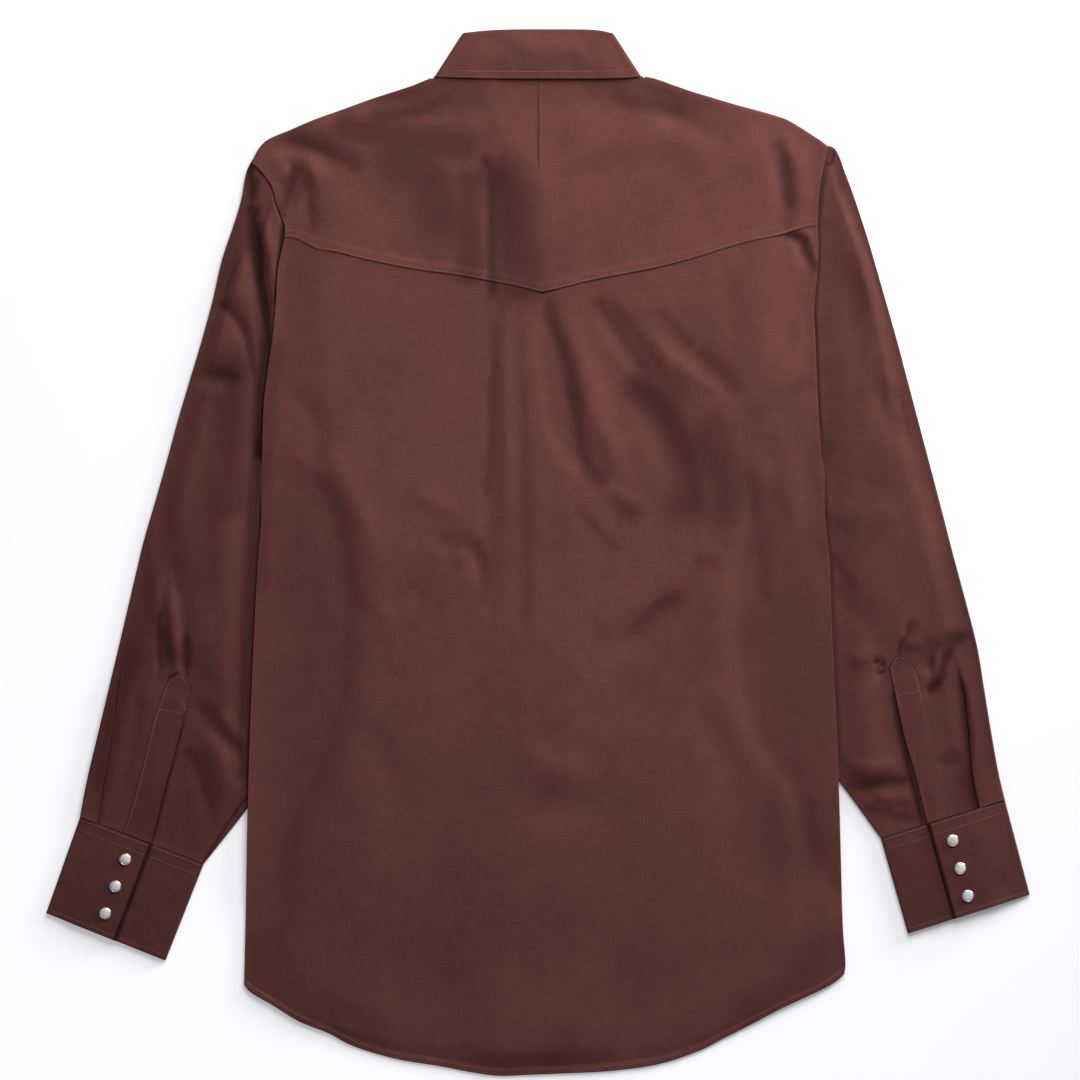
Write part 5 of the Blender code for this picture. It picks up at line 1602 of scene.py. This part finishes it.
def cuff_path(width, overlap):
    """Section of a cuff, from the end on top round to the end below it."""
    low = CUFF / 2
    middle = low + CUFF_RISE
    high = middle + CUFF + SEAM
    radius = CUFF_RISE / 2
    margin = radius + CUFF / 2
    ramp_end = overlap - UNDERLAP - 4.0
    path = []
    for share in (0.0, 0.02, 0.05, 0.09, 0.14, 0.25, 0.4, 0.55, 0.7, 0.85, 1.0):
        path.append((overlap + (ramp_end - overlap) * share, high))
    for index in range(1, 13):
        share = index / 12
        across = ramp_end + (margin + 1.5 - ramp_end) * share
        path.append((across, high + (middle - high) * smooth(share)))
    for index in range(9):
        angle = math.pi * index / 8
        path.append((margin - radius * math.sin(angle), low + radius + radius * math.cos(angle)))
    for index in range(1, 12):
        path.append((margin + (width - 2 * margin) * index / 12, low))
    for index in range(9):
        angle = math.pi - math.pi * index / 8
        path.append((width - margin + radius * math.sin(angle),
                     low + radius + radius * math.cos(angle)))
    end = overlap - UNDERLAP
    under = [width - margin + (end - width + margin) * index / 18 for index in range(1, 19)]
    under += [overlap + beyond for beyond in (-1.0, 0.2, 1.0, 2.0, 3.2)]
    path += [(across, middle) for across in sorted(under, reverse=True)]
    return path


def cuff_piece(name, corners, overlap, side, turn):
    """Cuff: a strip closed into a flattened ring, its ends overlapping on top."""
    width = (math.dist(corners[0], corners[1]) + math.dist(corners[2], corners[3])) / 2
    path = cuff_path(width, overlap)
    if side > 0:
        path = path[::-1]
    last = len(path) - 1

    def place(u, v):
        across, height = path[round(u * last)]
        x, y = cuff_plan(corners, across / width, v)
        if height > FLOOR_LEVEL + CUFF:
            inset = min(across, width - across)
            soft = 0.35 * ripple(x, y, 24.0, 24.0, 30.0) + 0.25
            height += max(soft, 0.0) * smooth((inset - 4.0) / 12.0)
            height -= 0.18 * (1.0 - smooth((min(v, 1.0 - v) * 83.0 - 0.5) / 1.5))
        return x, y, height

    # painted shade: dark along the overlap's edge, on the ply under it, and faintly along the top
    # edge
    def shade(u, v, x, y):
        across, height = path[round(u * last)]
        if across == overlap:
            return FREE_SHADE
        dark = 0.2 if v == 0.0 and height > FLOOR_LEVEL + CUFF else 0.0
        if across > overlap - 1.5 and height > FLOOR_LEVEL + CUFF:
            dark = max(dark, 0.85 * (1.0 - smooth((across - overlap) / 3.0)))
        return dark

    near = (0.006, 0.015, 0.03, 0.06)
    piece = laid(name, [index / last for index in range(last + 1)], stations(26, near, near),
                 place, CUFF, CUFF_SHADED_FINISH, (250.0, 83.0), turn=turn, shade=shade)
    caps = []
    tree = cast_tree(piece)
    depth = math.dist(corners[0], corners[2])
    for snap_depth in CUFF_SNAP_DEPTHS:
        x, y = cuff_plan(corners, (overlap - SNAP_INSET) / width, snap_depth / depth)
        found = surface(tree, x, y)[0]
        caps.append((x, y, found.z / MM + CAP_GAP))
    return piece, caps, tree


# ---- Snaps

def turned(shape, profile, place, flip):
    """Adds a turned form to a bmesh: (radius, height) pairs spun about a plan place."""
    sign = -1.0 if flip else 1.0
    corners = [shape.verts.new((r * MM, 0.0, sign * z * MM)) for r, z in profile]
    lines = [shape.edges.new(pair) for pair in zip(corners, corners[1:])]
    old = set(shape.verts) - set(corners)
    bmesh.ops.spin(shape, geom=corners + lines, cent=(0, 0, 0), axis=(0, 0, 1),
                   angle=2 * math.pi, steps=CAP_SIDES, use_merge=True)
    fresh = [vertex for vertex in shape.verts if vertex not in old]
    bmesh.ops.remove_doubles(shape, verts=fresh, dist=1e-6)
    fresh = [vertex for vertex in shape.verts if vertex not in old]
    bmesh.ops.translate(shape, verts=fresh, vec=[value * MM for value in place])


def squat(profile, height):
    """Profile with its heights scaled to a cap's own height."""
    share = height / PEARL_TOP
    return [(radius, level * share) for radius, level in profile]


def snap_pieces(names, places, height, flip):
    """Pearl faces, one for each node."""
    for name, place in zip(names, places):
        shape = bmesh.new()
        turned(shape, squat(PEARL_PROFILE, height), place, flip)
        bmesh.ops.recalc_face_normals(shape, faces=shape.faces)
        show(name + "_pearl", shape, PEARL, (name,))


def rims(name, places, height, flip):
    """The metal rims of a row of snaps, as one piece."""
    shape = bmesh.new()
    for place in places:
        turned(shape, squat(RIM_PROFILE, height), place, flip)
    bmesh.ops.recalc_face_normals(shape, faces=shape.faces)
    show(name, shape, RIM)


# ---- Stitches

def spaced(points):
    """Places and headings of stitches along a plan line."""
    line = edge(points)
    fine = [line(index / 400) for index in range(401)]
    length = sum(math.dist(a, b) for a, b in zip(fine, fine[1:]))
    count = max(int(length / STITCH_PITCH), 1)
    made = []
    for index in range(count):
        share = (index + 0.5) / count
        x, y = line(share)
        ahead = line(min(share + 0.002, 1.0))
        behind = line(max(share - 0.002, 0.0))
        made.append((x, y, math.atan2(ahead[1] - behind[1], ahead[0] - behind[0])))
    return made


def stitch_line(target, points, tree, from_above):
    """Adds a line of stitches that lie on a piece's surface."""
    shape = bmesh.new()
    sign = 1.0 if from_above else -1.0
    for x, y, heading in spaced(points):
        place, normal = surface(tree, x, y, from_above)
        if place is None or abs(normal.z) < STITCH_STEEPEST:
            continue
        up = Vector((0.0, 0.0, sign)) if normal.z * sign < 0 else normal
        along = Vector((math.cos(heading), math.sin(heading), 0.0))
        along = (along - up * along.dot(up)).normalized()
        across = up.cross(along)
        turn = Matrix((along, across, up)).transposed().to_4x4()
        scale = Matrix.Diagonal([size / 2 * MM for size in STITCH_SIZE] + [1.0])
        move = Matrix.Translation(place + up * STITCH_LIFT * MM)
        bmesh.ops.create_uvsphere(shape, u_segments=6, v_segments=4, radius=1.0,
                                  matrix=move @ turn @ scale)
    mesh = bpy.data.meshes.new("stitch_run")
    shape.to_mesh(mesh)
    shape.free()
    target.from_mesh(mesh)
    bpy.data.meshes.remove(mesh)


def offset_line(points, distance):
    """Plan line moved to its left by a distance."""
    line = edge(points)
    moved_points = []
    for index in range(25):
        share = index / 24
        x, y = line(share)
        ahead = line(min(share + 0.01, 1.0))
        behind = line(max(share - 0.01, 0.0))
        run = math.dist(ahead, behind)
        moved_points.append((x - (ahead[1] - behind[1]) / run * distance,
                             y + (ahead[0] - behind[0]) / run * distance))
    return moved_points


def sew(name, runs):
    """Stitches of one part of the shirt, as one piece: (line, tree, from above)."""
    shape = bmesh.new()
    for points, tree, from_above in runs:
        stitch_line(shape, points, tree, from_above)
    return show(name, shape, THREAD)


# ---- The shirt

def build():
    """All pieces, their snaps and stitches; at the end each laid piece's cut_area note is removed.
    """
    back = back_piece()
    yoke = yoke_piece()
    front_left = front_piece("front_left_cloth", -1, LEFT_CENTRE)
    front_right = front_piece("front_right_cloth", 1, RIGHT_CENTRE)
    placket = placket_piece()
    stand = stand_piece()
    leaf = leaf_piece()
    sleeve_left, sleeve_right = [
        sleeve_piece("sleeve_%s_cloth" % hand, side, math.radians(turn))
        for hand, side, turn in (("left", -1, -15.0), ("right", 1, 14.0))]
    trees = {key: cast_tree(piece) for key, piece in (
        ("back", back), ("yoke", yoke), ("front_left", front_left), ("leaf", leaf),
        ("front_right", front_right), ("placket", placket), ("sleeve_left", sleeve_left),
        ("sleeve_right", sleeve_right))}
    gauntlets = {}
    cuffs = {}
    caps = {}
    for hand, side, table, *_ in HANDS:
        gauntlets[hand] = gauntlet_piece("sleeve_placket_%s_cloth" % hand, side, table,
                                         trees["sleeve_" + hand])
        trees["gauntlet_" + hand] = cast_tree(gauntlets[hand])
    for hand, side, _, corners, overlap, turn in HANDS:
        cuffs[hand], caps[hand], trees["cuff_" + hand] = cuff_piece(
            "cuff_%s_cloth" % hand, corners, overlap, side, math.radians(turn))
    for hand in caps:
        names = ["cuff_snap_%s_%d" % (hand, number) for number in (1, 2, 3)]
        snap_pieces(names, caps[hand], CUFF_CAP_HEIGHT, False)
    front_caps = [(0.0, FRONT_SNAP_TOP - FRONT_SNAP_PITCH * number, CAP_HEIGHT)
                  for number in range(FRONT_SNAPS)]
    front_caps.append((0.0, STAND_SNAP_Y, CAP_HEIGHT))
    names = ["front_snap_%d" % (number + 1) for number in range(FRONT_SNAPS)] + ["stand_snap"]
    snap_pieces(names, front_caps, CAP_HEIGHT, True)
    rims("cuff_snap_rims", caps["left"] + caps["right"], CUFF_CAP_HEIGHT, False)
    rims("front_snap_rims", front_caps, CAP_HEIGHT, True)

    # stitches
    seam_points = [(x, y + SEAM_STITCH) for x, y in YOKE_SEAM_LEFT + YOKE_SEAM_RIGHT[1:]]
    hem_points = offset_line(HEM, HEM_DEPTH)
    sew("body_stitches", (
        (seam_points, trees["yoke"], True),
        (hem_points, trees["back"], True),
    ))
    leaf_side = [front_run(mix(LEAF_FOLD, LEAF_EDGE, LEAF_STITCH), share)
                 for share in (0.05, 0.3, 0.55, 0.8, 0.93)]
    leaf_end = [mix(front_run(LEAF_FOLD, 1.0), front_run(LEAF_EDGE, 1.0), share)
                for share in (0.08, 0.5, 0.90)]
    collar_runs = [(COLLAR_LINE, trees["leaf"], True)]
    for sign in (-1.0, 1.0):
        collar_runs.append(([(sign * x, y) for x, y in leaf_side], trees["leaf"], False))
        collar_runs.append(([(sign * (x + 5.0), y + 3.0) for x, y in leaf_end],
                            trees["leaf"], False))
    sew("collar_stitches", collar_runs)

    placket_runs = []
    above_hem, line_top = PLACKET_STITCH_ENDS
    for x in (-PLACKET_STITCH, PLACKET_STITCH):
        placket_runs.append(([(x, HEM_Y(x) + hem_gap(x) + above_hem), (x, 0.0), (x, line_top)],
                             trees["placket"], False))
    for sign, key in ((-1.0, "front_left"), (1.0, "front_right")):
        hem_front = []
        for index in range(FRONT_HEM_POINTS):
            reach = (FRONT_HEM_TO - FRONT_HEM_FROM) * index / (FRONT_HEM_POINTS - 1)
            x = sign * (FRONT_HEM_FROM + reach)
            hem_front.append((x, HEM_Y(x) + hem_gap(x) + HEM_DEPTH))
        placket_runs.append((hem_front, trees[key], False))
    sew("front_stitches", placket_runs)

    for hand, side, table, corners, overlap, _ in HANDS:
        tree = trees["gauntlet_" + hand]
        left, right, top = table
        left = offset_line(left, -SEAM_STITCH)
        right = offset_line(right, SEAM_STITCH)
        box_left, box_right = BOX_SHARES[side]
        if side < 0:
            right = right[round(box_right * (len(right) - 1)):]
        else:
            left = left[round(box_left * (len(left) - 1)):]
        box = [mix(edge(table[0])(box_left), edge(table[1])(box_right), share)
               for share in (0.07, 0.5, 0.93)]
        top = offset_line(top, -GAUNTLET_TOP_STITCH)
        runs = [(line, tree, True) for line in (left, right, top, box)]
        tree = trees["cuff_" + hand]
        width = math.dist(corners[0], corners[1])
        for down in CUFF_STITCHES:
            over = [cuff_plan(corners, across / width, down)
                    for across in (3.0, overlap * 0.5, overlap - 1.5)]
            under = [cuff_plan(corners, across / width, down)
                     for across in (overlap + 2.5, (overlap + width) * 0.5, width - 3.0)]
            runs += [(over, tree, True), (under, tree, True)]
        sew("sleeve_stitches_" + hand, runs)

    cut(back)
    cut(yoke)
    cut(front_left)
    cut(front_right)
    cut(placket)
    cut(stand)
    cut(leaf)
    cut(sleeve_left)
    cut(sleeve_right)
    cut(gauntlets["left"])
    cut(gauntlets["right"])
    cut(cuffs["left"])
    cut(cuffs["right"])


# ---- Floor, light and camera

def aimed(thing, target):
    """Turns a light towards a point."""
    thing.rotation_mode = "QUATERNION"
    thing.rotation_quaternion = (Vector(target) - thing.location).to_track_quat("-Z", "Y")


def floor_piece():
    """Pale floor that glows more towards the lower left: painted light that keeps it evenly white
    where the key light falls off.
    """
    shape = bmesh.new()
    bmesh.ops.create_grid(shape, x_segments=1, y_segments=1, size=FLOOR_HALF)
    bmesh.ops.translate(shape, verts=shape.verts, vec=(0.0, 0.0, -FLOOR_DROP))
    mesh = bpy.data.meshes.new("floor")
    shape.to_mesh(mesh)
    shape.free()
    made, tree, shader = material(
        "floor_paper", Base_Color=FLOOR_COLOUR, Roughness=0.9,
        Emission_Color=FLOOR_GLOW_COLOUR)
    split = tree.add("ShaderNodeSeparateXYZ", (), Vector=tree.place())
    towards_key = tree.plus(tree.times(split.outputs["X"], GLOW_WAY[0]),
                            tree.times(split.outputs["Y"], GLOW_WAY[1]))
    tree.put(shader, "Emission Strength", tree.ranged(towards_key, *GLOW_RANGE))
    mesh.materials.append(made)
    floor = bpy.data.objects.new("floor", mesh)
    bpy.context.collection.objects.link(floor)


def softbox(name, place, target, size, power):
    """Square area light."""
    lamp = bpy.data.lights.new(name, "AREA")
    lamp.shape = "SQUARE"
    lamp.size = size
    lamp.energy = power
    lamp.color = LAMP_COLOUR
    light = bpy.data.objects.new(name, lamp)
    light.location = place
    bpy.context.collection.objects.link(light)
    aimed(light, target)


def studio():
    """Key light from the upper right, a low light that rakes the folds, and a pale sky."""
    for row in SOFTBOXES:
        softbox(*row)
    world = bpy.data.worlds.new("sky")
    world.use_nodes = True
    sky = world.node_tree.nodes["Background"]
    sky.inputs["Color"].default_value = SKY_COLOUR
    sky.inputs["Strength"].default_value = SKY_STRENGTH
    bpy.context.scene.world = world
    bpy.context.scene.view_settings.view_transform = "Standard"

    lens = bpy.data.cameras.new("camera")
    lens.sensor_width = 36.0
    lens.lens = lens.sensor_width * (CAMERA_HEIGHT - PICTURE_LEVEL) / PICTURE_WIDTH
    lens.clip_start = 0.1
    lens.clip_end = 20.0
    camera = bpy.data.objects.new("camera", lens)
    camera.location = CAMERA_PLACE + (CAMERA_HEIGHT,)
    bpy.context.collection.objects.link(camera)
    bpy.context.scene.camera = camera


build()
floor_piece()
studio()
